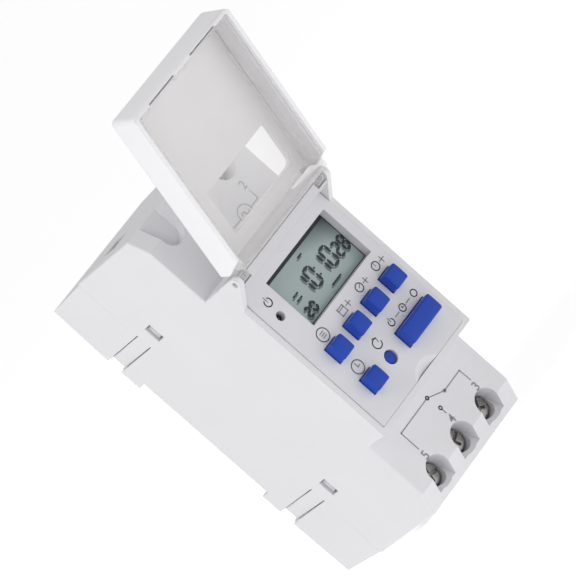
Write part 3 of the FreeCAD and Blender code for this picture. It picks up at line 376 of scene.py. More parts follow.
@dataclass(frozen=True)
class Plated:
    """Plated or bare metal, with fine directional marks and slight tarnish."""

    name: str
    colour: Colour
    roughness: float = 0.26
    stretch: Point = (1.0, 1.0, 1.0)
    marks: float = 0.25
    edge: float = 0.12 * MM

    def make(self) -> bpy.types.Material:
        """Build the material and return it.

        Returns:
            The finished material.
        """
        book = NodeBook(self.name)
        tarnish = book.noise(2.2 * MM, 3.0)
        lines = book.noise(0.12 * MM, 2.0, self.stretch)
        worn = tuple(channel * 0.5 for channel in self.colour)
        inputs = {
            "Base Color": book.blend(tarnish, worn, self.colour),
            "Metallic": 1.0,
            "Roughness": tarnish * 0.16 + (self.roughness - 0.06) + lines * 0.06,
            "Normal": book.soft_edges(self.edge, lines, self.marks),
        }
        return book.close(book.surface(inputs))


@dataclass(frozen=True)
class Ink:
    """Pad-printed ink, slightly uneven in cover."""

    name: str
    colour: Colour
    paper: Colour
    wear: float = 0.25

    def make(self) -> bpy.types.Material:
        """Build the material and return it.

        Returns:
            The finished material.
        """
        book = NodeBook(self.name)
        cover = book.noise(0.35 * MM, 3.0)
        thin = (cover - 0.45) * self.wear
        inputs = {
            "Base Color": book.blend(thin, self.colour, self.paper),
            "Roughness": cover * 0.1 + 0.45,
        }
        return book.close(book.surface(inputs))


@dataclass(frozen=True)
class DisplayFace:
    """The display's grey-green face, with painted shade that darkens it towards its upper right corner,
    where the window's walls shade it.
    """

    name: str
    light: Colour
    # The dark colour is the painted shade at the upper right corner.
    dark: Colour
    centre: Point
    half: Spot

    def make(self) -> bpy.types.Material:
        """Build the material and return it.

        Returns:
            The finished material.
        """
        book = NodeBook(self.name)
        axes = book.make("ShaderNodeSeparateXYZ", {}, {0: book.place()})
        across = (book.value(axes, 0) - self.centre[0]) * (0.5 / self.half[0]) + 0.5
        upward = (book.value(axes, 2) - self.centre[2]) * (0.5 / self.half[1]) + 0.5
        # Painted shade: the colour ramps to the dark colour towards the upper right corner, for the shade of
        # the window's walls.
        painted_shade_fall = across * 0.48 + upward * 0.52
        stops = [(0.0, self.light), (0.68, self.light), (0.95, self.dark), (1.0, self.dark)]
        ramp = book.value(book.make("ShaderNodeValToRGB", {"stops": stops}, {0: painted_shade_fall}))
        speck = book.noise(0.3 * MM, 2.0)
        inputs = {
            "Base Color": book.blend(speck * 0.12, ramp, self.light),
            "Roughness": speck * 0.05 + 0.2,
            "Normal": book.soft_edges(0.1 * MM),
            "Coat Weight": 0.35,
            "Coat Roughness": 0.05,
        }
        return book.close(book.surface(inputs))


@dataclass(frozen=True)
class Laminate:
    """Glass-fibre board under solder mask, with copper tracks showing as a faint relief."""

    name: str
    mask: Colour
    track: Colour

    def make(self) -> bpy.types.Material:
        """Build the material and return it.

        Returns:
            The finished material.
        """
        book = NodeBook(self.name)
        where = book.place((1.0, 1.0, 1.0))
        bricks = {"Vector": where, "Scale": 220.0, "Mortar Size": 0.035, "Brick Width": 0.9,
                  "Row Height": 0.4, "Color1": (0.0, 0.0, 0.0, 1.0), "Color2": (0.0, 0.0, 0.0, 1.0),
                  "Mortar": (1.0, 1.0, 1.0, 1.0)}
        tracks = book.value(book.make("ShaderNodeTexBrick", {}, bricks), 1)
        weave = book.noise(0.4 * MM, 2.0)
        inputs = {
            "Base Color": book.blend(tracks, self.mask, self.track),
            "Roughness": weave * 0.12 + 0.28,
            "Normal": book.soft_edges(0.1 * MM, tracks + weave * 0.2, 0.5),
        }
        return book.close(book.surface(inputs))


@dataclass(frozen=True)
class Wound:
    """Enamelled wire wound in close turns round the Z axis, with painted shade darkening the grooves between
    turns.
    """

    name: str
    colour: Colour
    pitch: float = 0.24 * MM

    def make(self) -> bpy.types.Material:
        """Build the material and return it.

        Returns:
            The finished material.
        """
        book = NodeBook(self.name)
        axes = book.make("ShaderNodeSeparateXYZ", {}, {0: book.place()})
        turns = book.value(axes, 2) * (2.0 * math.pi / self.pitch)
        ridge = book.value(book.make("ShaderNodeMath", {"operation": "SINE"}, {0: turns}))
        shade = ridge * 0.5 + 0.5
        # Painted shade: the colour darkens in the grooves between turns.
        painted_groove_shade = tuple(channel * 0.35 for channel in self.colour)
        inputs = {
            "Base Color": book.blend(shade, painted_groove_shade, self.colour),
            "Metallic": 0.6,
            "Roughness": shade * 0.1 + 0.3,
            "Normal": book.soft_edges(0.1 * MM, shade, 0.8),
        }
        return book.close(book.surface(inputs))


DISPLAY_LIGHT: Colour = (0.34, 0.42, 0.412)
# Painted shade for the display face's upper right corner.
DISPLAY_PAINTED_SHADE: Colour = (0.045, 0.055, 0.055)
DIGIT_DARK: Colour = (0.018, 0.026, 0.032)
DIGIT_WORN: Colour = (0.03, 0.04, 0.05)
SHADOW_GREY: Colour = (0.13, 0.165, 0.165)
SHADOW_WORN: Colour = (0.16, 0.2, 0.2)
# Painted shadow colours for the black band round the display's picture.
PAINTED_GAP_SHADOW: Colour = (0.008, 0.009, 0.01)
PAINTED_GAP_SHADOW_THIN: Colour = (0.02, 0.02, 0.02)
WHITE_CASE: Colour = (0.735, 0.73, 0.75)
WHITE_PANEL: Colour = (0.70, 0.695, 0.72)
WHITE_LID: Colour = (0.85, 0.845, 0.865)
INK_GREY: Colour = (0.25, 0.245, 0.26)
KEY_BLUE: Colour = (0.006, 0.05, 0.40)

FINISHES: dict[str, Any] = {
    "case_plastic": Moulded("case_moulding", WHITE_CASE, roughness=0.46, grain=0.16, under_skin=0.05),
    "panel_plastic": Moulded("panel_moulding", WHITE_PANEL, roughness=0.4, grain=0.1, under_skin=0.05),
    "lid_plastic": Moulded("lid_moulding", WHITE_LID, roughness=0.3, grain=0.05, coat=0.15, under_skin=0.05),
    "liner_plastic": ClearMoulded("liner_moulding", (0.95, 0.945, 0.955)),
    "key_plastic": Moulded("key_moulding", KEY_BLUE, roughness=0.36, grain=0.1, drift=0.06,
                           edge=0.12 * MM, shine=0.35),
    "base_plastic": Moulded("base_moulding", (0.62, 0.62, 0.63), roughness=0.5, grain=0.2),
    "clip_plastic": Moulded("clip_moulding", (0.025, 0.026, 0.03), roughness=0.45, grain=0.2),
    "spring_steel": Plated("spring_wire", (0.62, 0.63, 0.65), roughness=0.3),
    "reflector_film": Moulded("reflector_film", (0.30, 0.36, 0.33), roughness=0.35, grain=0.3),
    "holder_plastic": Moulded("holder_moulding", (0.015, 0.015, 0.017), roughness=0.5),
    "contact_rubber": Moulded("contact_rubber", (0.05, 0.05, 0.055), roughness=0.75, grain=0.5),
    "lamp_lens": Moulded("lamp_lens", (0.022, 0.009, 0.008), roughness=0.16, grain=0.0, coat=0.25),
    "board_laminate": Laminate("board_laminate", (0.012, 0.10, 0.035), (0.03, 0.19, 0.07)),
    "barrier_film": Moulded("barrier_film", (0.70, 0.68, 0.55), roughness=0.25, grain=0.05),
    "screw_steel": Plated("screw_plating", (0.50, 0.49, 0.47), roughness=0.24, marks=0.15),
    "contact_brass": Plated("bar_brass", (0.83, 0.60, 0.26), roughness=0.24),
    "cage_steel": Plated("cage_plating", (0.66, 0.62, 0.50), roughness=0.32),
    "black_moulding": Moulded("black_epoxy", (0.014, 0.014, 0.016), roughness=0.5, grain=0.3),
    "can_metal": Plated("can_nickel", (0.74, 0.74, 0.75), roughness=0.22),
    "capacitor_case": Moulded("capacitor_case", (0.62, 0.40, 0.03), roughness=0.35, coat=0.3),
    "can_sleeve": Moulded("can_sleeve", (0.016, 0.018, 0.05), roughness=0.3, coat=0.4),
    "varistor_coat": Moulded("varistor_coat", (0.015, 0.07, 0.36), roughness=0.35, grain=0.3, coat=0.3),
    "resistor_coat": Moulded("resistor_coat", (0.16, 0.24, 0.15), roughness=0.6, grain=0.5),
    "relay_moulding": Moulded("relay_moulding", (0.02, 0.025, 0.035), roughness=0.4, grain=0.2),
    "relay_iron": Plated("relay_iron", (0.60, 0.60, 0.61), roughness=0.35),
    "coil_wire": Wound("coil_wire", (0.60, 0.22, 0.07)),
}


# --------------------------------------------------------------------------- shapes
Picker = Callable[[bmesh.types.BMEdge], bool]


def sharper_than(degrees: float) -> Picker:
    """Return a test for edges whose faces turn by more than an angle."""
    limit = math.radians(degrees)
    return lambda edge: len(edge.link_faces) == 2 and edge.calc_face_angle() > limit


class Form:
    """A shape under construction, in metres, in the object's own frame."""

    def __init__(self) -> None:
        """Start empty."""
        self.mesh = bmesh.new()

    @staticmethod
    def box(low: Sequence[float], high: Sequence[float]) -> Form:
        """Return a box between two corners.

        Args:
            low: The corner with the lowest coordinates, in metres.
            high: The opposite corner.

        Returns:
            The box.
        """
        form = Form()
        size = Vector(high) - Vector(low)
        middle = (Vector(high) + Vector(low)) / 2
        matrix = Matrix.Translation(middle) @ Matrix.Diagonal((*size, 1.0))
        bmesh.ops.create_cube(form.mesh, size=1.0, matrix=matrix)
        return form

    @staticmethod
    def rod(start: Point, end: Point, radius: float, tip: float | None = None, sides: int = 48) -> Form:
        """Return a closed round bar.

        Args:
            start: The middle of one end.
            end: The middle of the other end.
            radius: The radius at the start.
            tip: The radius at the end, if it differs.
            sides: How many flat faces go round it.

        Returns:
            The bar.
        """
        form = Form()
        along = Vector(end) - Vector(start)
        middle = (Vector(end) + Vector(start)) / 2
        turn = along.to_track_quat("Z", "Y").to_matrix().to_4x4()
        bmesh.ops.create_cone(
            form.mesh, cap_ends=True, cap_tris=False, segments=sides, radius1=radius,
            radius2=radius if tip is None else tip, depth=along.length,
            matrix=Matrix.Translation(middle) @ turn,
        )
        return form

    @staticmethod
    def of_mesh(mesh: bpy.types.Mesh) -> Form:
        """Return a form that holds a copy of a mesh.

        Args:
            mesh: The mesh to copy.

        Returns:
            The new form.
        """
        form = Form()
        form.mesh.from_mesh(mesh)
        return form

    def bevel(self, width: float, segments: int, pick: Picker) -> Form:
        """Round the edges that a test picks and return the form.

        Args:
            width: The bevel's width, in metres.
            segments: How many strips make the round.
            pick: Tells which edges are rounded.

        Returns:
            This form.
        """
        edges = [edge for edge in self.mesh.edges if pick(edge)]
        bmesh.ops.bevel(
            self.mesh, geom=edges, offset=width, offset_type="OFFSET", segments=segments,
            profile=0.5, affect="EDGES", clamp_overlap=True, material=-1,
        )
        return self

    def turn(self, angle: float, facing: Facing, pivot: Sequence[float]) -> Form:
        """Turn the form about an axis through a point and return it.

        Args:
            angle: The angle, in radians.
            facing: The axis to turn about.
            pivot: A point on the axis, in metres.

        Returns:
            This form.
        """
        matrix = Matrix.Rotation(angle, 3, facing.value)
        bmesh.ops.rotate(self.mesh, cent=pivot, matrix=matrix, verts=self.mesh.verts)
        return self

    def move(self, step: Sequence[float]) -> Form:
        """Shift the form and return it."""
        bmesh.ops.translate(self.mesh, vec=step, verts=self.mesh.verts)
        return self

    def add(self, *others: Form) -> Form:
        """Take in other forms as they are and return this one.

        Args:
            others: The forms to take in.

        Returns:
            This form.
        """
        for other in others:
            mesh = other.as_mesh("taken")
            self.mesh.from_mesh(mesh)
            bpy.data.meshes.remove(mesh)
        return self

    def as_mesh(self, name: str) -> bpy.types.Mesh:
        """Return a new mesh with the form's faces.

        Args:
            name: The mesh's name.

        Returns:
            The mesh.
        """
        mesh = bpy.data.meshes.new(name)
        self.mesh.to_mesh(mesh)
        return mesh

    def _boolean(self, operation: str, other: Form) -> Form:
        """Join or cut with another closed form.

        Args:
            operation: UNION, DIFFERENCE or INTERSECT.
            other: The form to work with.

        Returns:
            The result, as a new form.
        """
        objects = []
        for form in (self, other):
            thing = bpy.data.objects.new("work", form.as_mesh("work"))
            bpy.context.scene.collection.objects.link(thing)
            objects.append(thing)
        modifier = objects[0].modifiers.new("work", "BOOLEAN")
        modifier.operation = operation
        modifier.solver = "EXACT"
        modifier.object = objects[1]
        graph = bpy.context.evaluated_depsgraph_get()
        mesh = bpy.data.meshes.new_from_object(objects[0].evaluated_get(graph))
        result = Form.of_mesh(mesh)
        meshes = [thing.data for thing in objects]
        for thing in objects:
            bpy.data.objects.remove(thing)
        for used in meshes + [mesh]:
            bpy.data.meshes.remove(used)
        bmesh.ops.remove_doubles(result.mesh, verts=result.mesh.verts, dist=0.002 * MM)
        return result

    def cut(self, *others: Form) -> Form:
        """Return the form with others taken away.

        Args:
            others: The forms to take away.

        Returns:
            What is left.
        """
        result = self
        for other in others:
            result = result._boolean("DIFFERENCE", other)
        return result

    def fuse(self, *others: Form) -> Form:
        """Return the form joined with others into one closed shape.

        Args:
            others: The forms to join on.

        Returns:
            The joined form.
        """
        result = self
        for other in others:
            result = result._boolean("UNION", other)
        return result

    def piece(self, name: str, body: str, slot: str, finish: bpy.types.Material,
              replaces: Sequence[str] = (), smooth: float = 32.0) -> bpy.types.Object:
        """Make the form a finished piece of the object.

        Args:
            name: The piece's name.
            body: The body that it moves with.
            slot: The record's material slot; not used.
            finish: Its material.
            replaces: CAD nodes that it stands for.
            smooth: Edges that turn by less than this many degrees look round.

        Returns:
            The new object.
        """
        bmesh.ops.recalc_face_normals(self.mesh, faces=self.mesh.faces)
        mesh = self.as_mesh(name)
        mesh.materials.append(finish)
        mesh.shade_smooth()
        mesh.set_sharp_from_angle(angle=math.radians(smooth))
        thing = bpy.data.objects.new(name, mesh)
        bpy.context.scene.collection.objects.link(thing)
        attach(thing, body)
        if replaces:
            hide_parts(*replaces)
        LOG.info("%s: %d faces on %s", name, len(mesh.polygons), body)
        return thing


class Workshop:
    """Holds the finishes, and dresses the nodes that stay as they are."""

    def __init__(self, frame: dict[str, Any]) -> None:
        """Build every finish of the record's material slots.
        """
        self.frame = frame
        self.materials = {slot: finish.make() for slot, finish in FINISHES.items()}
        self.slots = {part["node"]: part["material_slot"] for part in frame["record"]["subparts"]}
        self.home = {node: body for body, nodes in frame["record"]["behaviour"]["bodies"].items()
                     for node in nodes}

    def dress(self, *nodes: str) -> None:
        """Give nodes that stay as they are their slot's finish.

        Args:
            nodes: The names of the nodes.
        """
        for node in nodes:
            thing = self.frame["nodes"][node]
            thing.data.materials.clear()
            thing.data.materials.append(self.materials[self.slots[node]])
            LOG.info("%s: dressed", node)

    def replace(self, form: Form, node: str, name: str, smooth: float = 32.0) -> bpy.types.Object:
        """Make a form the piece that stands for a node, on the same body."""
        slot = self.slots[node]
        return form.piece(name, self.home[node], slot, self.materials[slot], (node,), smooth)

    def detail(self, form: Form, name: str, body: str, slot: str,
               finish: bpy.types.Material | None = None) -> bpy.types.Object:
        """Make a form an extra piece on a body."""
        return form.piece(name, body, slot, finish or self.materials[slot])


# --------------------------------------------------------------------------- print
@dataclass
class Printing:
    """Flat marks on a plane that faces the reader, as thin raised shapes.

    A spot is a pair of x and z in millimetres.
    """

    depth: float
    film: float = 0.03 * MM
    stroke: float = 0.26
    weight: float = 0.045

    def __post_init__(self) -> None:
        """Start with no marks."""
        self.form = Form()

    def _slab(self, centre: Spot, length: float, width: float, angle: float) -> None:
        """Add a flat bar, given in millimetres, turned by an angle.

        Args:
            centre: The bar's middle, as X and Z.
            length: The bar's length.
            width: The bar's width.
            angle: How far it is turned, in radians.
        """
        half = Vector((length / 2 * MM, self.film / 2, width / 2 * MM))
        bar = Form.box(-half, half)
        bar.turn(-angle, Facing.Y, (0.0, 0.0, 0.0))
        bar.move((centre[0] * MM, -self.depth - self.film / 2, centre[1] * MM))
        self.form.add(bar)

    def line(self, spots: Sequence[Spot], stroke: float | None = None) -> Printing:
        """Draw straight strokes through spots.

        Args:
            spots: Two or more spots.
            stroke: The stroke's width, in millimetres.

        Returns:
            The print, so that calls can be chained.
        """
        width = stroke or self.stroke
        for first, second in zip(spots, spots[1:]):
            run = (second[0] - first[0], second[1] - first[1])
            middle = ((first[0] + second[0]) / 2, (first[1] + second[1]) / 2)
            self._slab(middle, math.hypot(*run) + width, width, math.atan2(run[1], run[0]))
        return self

    def arc(self, centre: Spot, radius: float, start: float = 0.0, sweep: float = 360.0,
            stroke: float | None = None, steps: int = 24) -> Printing:
        """Draw a round stroke from a start angle through a sweep, in degrees.

        Args:
            centre: The arc's centre, as X and Z.
            radius: The arc's radius.
            start: The angle where it starts.
            sweep: The angle that it covers.
            stroke: The line's width.
            steps: How many straight bars make it.

        Returns:
            This print.
        """
        spots = []
        for step in range(steps + 1):
            angle = math.radians(start + sweep * step / steps)
            spots.append((centre[0] + radius * math.cos(angle), centre[1] + radius * math.sin(angle)))
        return self.line(spots, stroke)

    def dot(self, centre: Spot, radius: float) -> Printing:
        """Draw a filled spot.

        Args:
            centre: The spot's centre, as X and Z.
            radius: The spot's radius.

        Returns:
            This print.
        """
        start = (centre[0] * MM, -self.depth, centre[1] * MM)
        end = (centre[0] * MM, -self.depth - self.film, centre[1] * MM)
        self.form.add(Form.rod(start, end, radius * MM, sides=20))
        return self

    def plus(self, centre: Spot, size: float) -> Printing:
        """Draw a plus sign.

        Args:
            centre: The sign's centre, as X and Z.
            size: The length of its two strokes.

        Returns:
            This print.
        """
        half = size / 2
        self.line([(centre[0] - half, centre[1]), (centre[0] + half, centre[1])])
        return self.line([(centre[0], centre[1] - half), (centre[0], centre[1] + half)])

    def numeral(self, text: str, centre: Spot, height: float) -> Printing:
        """Print numerals of a given height, in millimetres, round a centre.

        Args:
            text: The numerals.
            centre: Their centre, as X and Z.
            height: Their height.

        Returns:
            This print.
        """
        curve = bpy.data.curves.new("numeral", "FONT")
        curve.body = text
        curve.align_x = "CENTER"
        curve.align_y = "CENTER"
        curve.size = height / 0.72 * MM
        curve.extrude = self.film / 2
        curve.offset = self.weight * MM
        curve.resolution_u = 4
        thing = bpy.data.objects.new("numeral", curve)
        mesh = bpy.data.meshes.new_from_object(thing)
        form = Form.of_mesh(mesh)
        form.turn(math.pi / 2, Facing.X, (0.0, 0.0, 0.0))
        form.move((centre[0] * MM, -self.depth - self.film / 2, centre[1] * MM))
        self.form.add(form)
        bpy.data.objects.remove(thing)
        bpy.data.curves.remove(curve)
        bpy.data.meshes.remove(mesh)
        return self


# --------------------------------------------------------------------------- case
@dataclass
class Case:
    """The case mouldings and the circuit marks on the two shoulders."""

    shop: Workshop
    shoulder: float = 40.4 * MM
    numeral_height: float = 2.1

    def build(self) -> None:
        """Dress the mouldings and print the shoulders."""
        self.shop.dress("housing", "rear_base", "din_clip", "clip_spring")
        ink = Ink("shoulder_ink", INK_GREY, WHITE_CASE).make()
        marks = Printing(self.shoulder)
        self._print_switch(marks)
        self._print_supply(marks)
        self.shop.detail(marks.form, "shoulder_print", "case", "case_plastic", ink)

    def _print_switch(self, marks: Printing) -> None:
        """Draw the change-over switch between the three lower terminals.

        Args:
            marks: The print to add to.
        """
        common, made, free = (0.8, -26.7), (5.1, -28.7), (1.2, -30.2)
        marks.line([(-10.1, -31.6), (-10.1, -26.7), (common[0] - 0.4, common[1])])
        marks.arc(common, 0.38, steps=14)
        marks.line([common, made])
        marks.dot(made, 0.45)
        marks.line([made, (11.4, -28.7), (11.5, -31.8)])
        marks.arc(free, 0.38, steps=14)
        marks.line([(free[0], free[1] - 0.4), (free[0], free[1] - 1.6)])
        for text, spot in (("3", (11.2, -33.6)), ("4", (1.1, -33.6)), ("5", (-10.1, -33.6))):
            marks.numeral(text, spot, self.numeral_height)

    def _print_supply(self, marks: Printing) -> None:
        """Draw the supply between the two upper terminals.

        Args:
            marks: The print to add to.
        """
        centre, radius = (5.4, 27.6), 2.0
        marks.arc(centre, radius)
        for side in (-1.0, 1.0):
            start = 0.0 if side < 0 else 180.0
            marks.arc((centre[0] + side * 0.55, centre[1]), 0.55, start, 180.0, steps=10)
        marks.line([(centre[0] + radius, centre[1]), (10.3, 27.6), (10.3, 30.0)])
        marks.line([(centre[0] - radius, centre[1]), (-5.0, 27.6), (-5.0, 30.0)])
        for text, spot in (("1", (-5.0, 31.7)), ("2", (10.2, 31.7))):
            marks.numeral(text, spot, self.numeral_height)


# --------------------------------------------------------------------------- keys
@dataclass
class KeyPanel:
    """The key panel: its moulding, keys, lamp and printed signs."""

    shop: Workshop
    face: float = 48.2 * MM
    flange: float = 0.5 * MM
    flange_front: float = 46.1 * MM
    flange_back: float = 45.3 * MM
    stem: float = 1.2 * MM
    crown: float = 0.16 * MM
    corner: float = 0.42 * MM
    keys: tuple[str, ...] = ("program", "day", "hour", "minute", "clock", "manual")

    def build(self) -> None:
        """Build the panel's pieces."""
        self.shop.dress("front_panel", "push_switches", "status_led")
        for key in self.keys:
            self._build_key(key)
        self._build_reset()
        self._print_signs()

    def _build_key(self, key: str) -> None:
        """Build one crowned key cap with its flange and stem.

        Args:
            key: The name of the key's node.
        """
        node = f"{key}_key"
        low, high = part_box(node)
        left, right = low.x + self.flange, high.x - self.flange
        foot, top = low.z + self.flange, high.z - self.flange
        cap = Form.box((left, low.y, foot), (right, -self.flange_front, top))
        level = [edge for edge in cap.mesh.edges if abs(edge.verts[0].co.y - edge.verts[1].co.y) < 1e-9]
        bmesh.ops.subdivide_edges(cap.mesh, edges=level, cuts=9, use_grid_fill=True)
        middle = Vector(((left + right) / 2, 0.0, (foot + top) / 2))
        for vert in cap.mesh.verts:
            if vert.co.y < low.y + 1e-6:
                across = (vert.co.x - middle.x) / (right - left) * 2
                upward = (vert.co.z - middle.z) / (top - foot) * 2
                vert.co.y += self.crown * (0.4 * across ** 2 + upward ** 2)
        cap.bevel(self.corner, 4, sharper_than(50.0))
        centre = (middle.x, middle.z)
        skirt = Form.box((low.x, -self.flange_front, low.z), (high.x, -self.flange_back, high.z))
        stem = Form.rod((centre[0], -self.flange_back, centre[1]), (centre[0], high.y, centre[1]), self.stem)
        cap.add(skirt.bevel(0.1 * MM, 2, sharper_than(50.0)), stem)
        self.shop.replace(cap, node, f"{key}_key_cap")
        self.shop.dress(f"{key}_plunger")

    def _build_reset(self) -> None:
        """Build the round reset key, below the panel's face."""
        low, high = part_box("reset_key")
        x, z = (low.x + high.x) / 2, (low.z + high.z) / 2
        radius = (high.x - low.x) / 2
        cap = Form.rod((x, -self.flange_front, z), (x, low.y, z), radius - self.flange)
        cap.bevel(0.25 * MM, 3, sharper_than(50.0))
        skirt = Form.rod((x, -self.flange_back, z), (x, -self.flange_front, z), radius)
        stem = Form.rod((x, high.y, z), (x, -self.flange_back, z), self.stem)
        self.shop.replace(cap.add(skirt, stem), "reset_key", "reset_key_cap")
        self.shop.dress("reset_plunger")

    def _print_signs(self) -> None:
        """Print the signs beside the keys: plain pictures in place of words."""
        signs = Printing(self.face, stroke=0.24)
        self._sign_program(signs, (-9.6, 0.1))
        self._sign_day(signs, (-1.9, 0.0))
        self._sign_hands(signs, (5.2, 0.05), 35.0)
        self._sign_hands(signs, (11.9, 0.05), 90.0)
        for x in (0.4, 7.5, 14.2):
            signs.plus((x, 0.0), 1.5)
        self._sign_clock(signs, (-9.8, -9.8))
        signs.arc((-2.3, -10.1), 1.15, 60.0, 290.0)
        signs.line([(-2.5, -8.6), (-1.6, -9.05), (-1.8, -10.0)])
        self._sign_manual(signs, (8.6, -9.8))
        signs.arc((-12.6, 13.3), 0.95, 120.0, 300.0)
        signs.line([(-12.6, 13.5), (-12.6, 14.7)])
        ink = Ink("panel_ink", INK_GREY, WHITE_PANEL).make()
        self.shop.detail(signs.form, "panel_print", "case", "panel_plastic", ink)

    @staticmethod
    def _sign_program(signs: Printing, spot: Spot) -> None:
        """Draw a ring with a list in it.

        Args:
            signs: The print to add to.
            spot: Where it goes, as X and Z in millimetres.
        """
        signs.arc(spot, 1.55)
        for row in (-0.55, 0.0, 0.55):
            signs.line([(spot[0] - 0.5, spot[1] + row), (spot[0] + 0.6, spot[1] + row)])

    @staticmethod
    def _sign_day(signs: Printing, spot: Spot) -> None:
        """Draw a calendar leaf.

        Args:
            signs: The print to add to.
            spot: Where it goes, as X and Z in millimetres.
        """
        left, right, foot, top = spot[0] - 0.95, spot[0] + 0.95, spot[1] - 0.95, spot[1] + 0.85
        signs.line([(left, foot), (right, foot), (right, top), (left, top), (left, foot)])
        signs.line([(left, top - 0.5), (right, top - 0.5)])

    @staticmethod
    def _sign_hands(signs: Printing, spot: Spot, angle: float) -> None:
        """Draw a small dial with one hand at an angle.

        Args:
            signs: The print to add to.
            spot: Where it goes, as X and Z in millimetres.
            angle: The hand's angle.
        """
        signs.arc(spot, 1.0, steps=20)
        tip = (spot[0] + 0.7 * math.cos(math.radians(angle)), spot[1] + 0.7 * math.sin(math.radians(angle)))
        signs.line([spot, tip])

    @staticmethod
    def _sign_clock(signs: Printing, spot: Spot) -> None:
        """Draw a clock face with two hands."""
        signs.arc(spot, 1.55)
        signs.line([(spot[0], spot[1] + 1.0), spot, (spot[0] + 0.75, spot[1])])

    @staticmethod
    def _sign_manual(signs: Printing, spot: Spot) -> None:
        """Draw the change between on, by the clock, and off.

        Args:
            signs: The print to add to.
            spot: Where it goes, as X and Z in millimetres.
        """
        signs.arc((spot[0] - 4.6, spot[1]), 0.8, 120.0, 300.0, steps=18)
        signs.line([(spot[0] - 4.6, spot[1] + 0.2), (spot[0] - 4.6, spot[1] + 1.2)])
        signs.line([(spot[0] - 2.9, spot[1]), (spot[0] - 1.5, spot[1])])
        signs.arc(spot, 0.85, steps=18)
        signs.line([(spot[0], spot[1] + 0.5), spot, (spot[0] + 0.45, spot[1])])
        signs.line([(spot[0] + 1.5, spot[1]), (spot[0] + 2.9, spot[1])])
        signs.arc((spot[0] + 4.6, spot[1]), 0.8, steps=18)


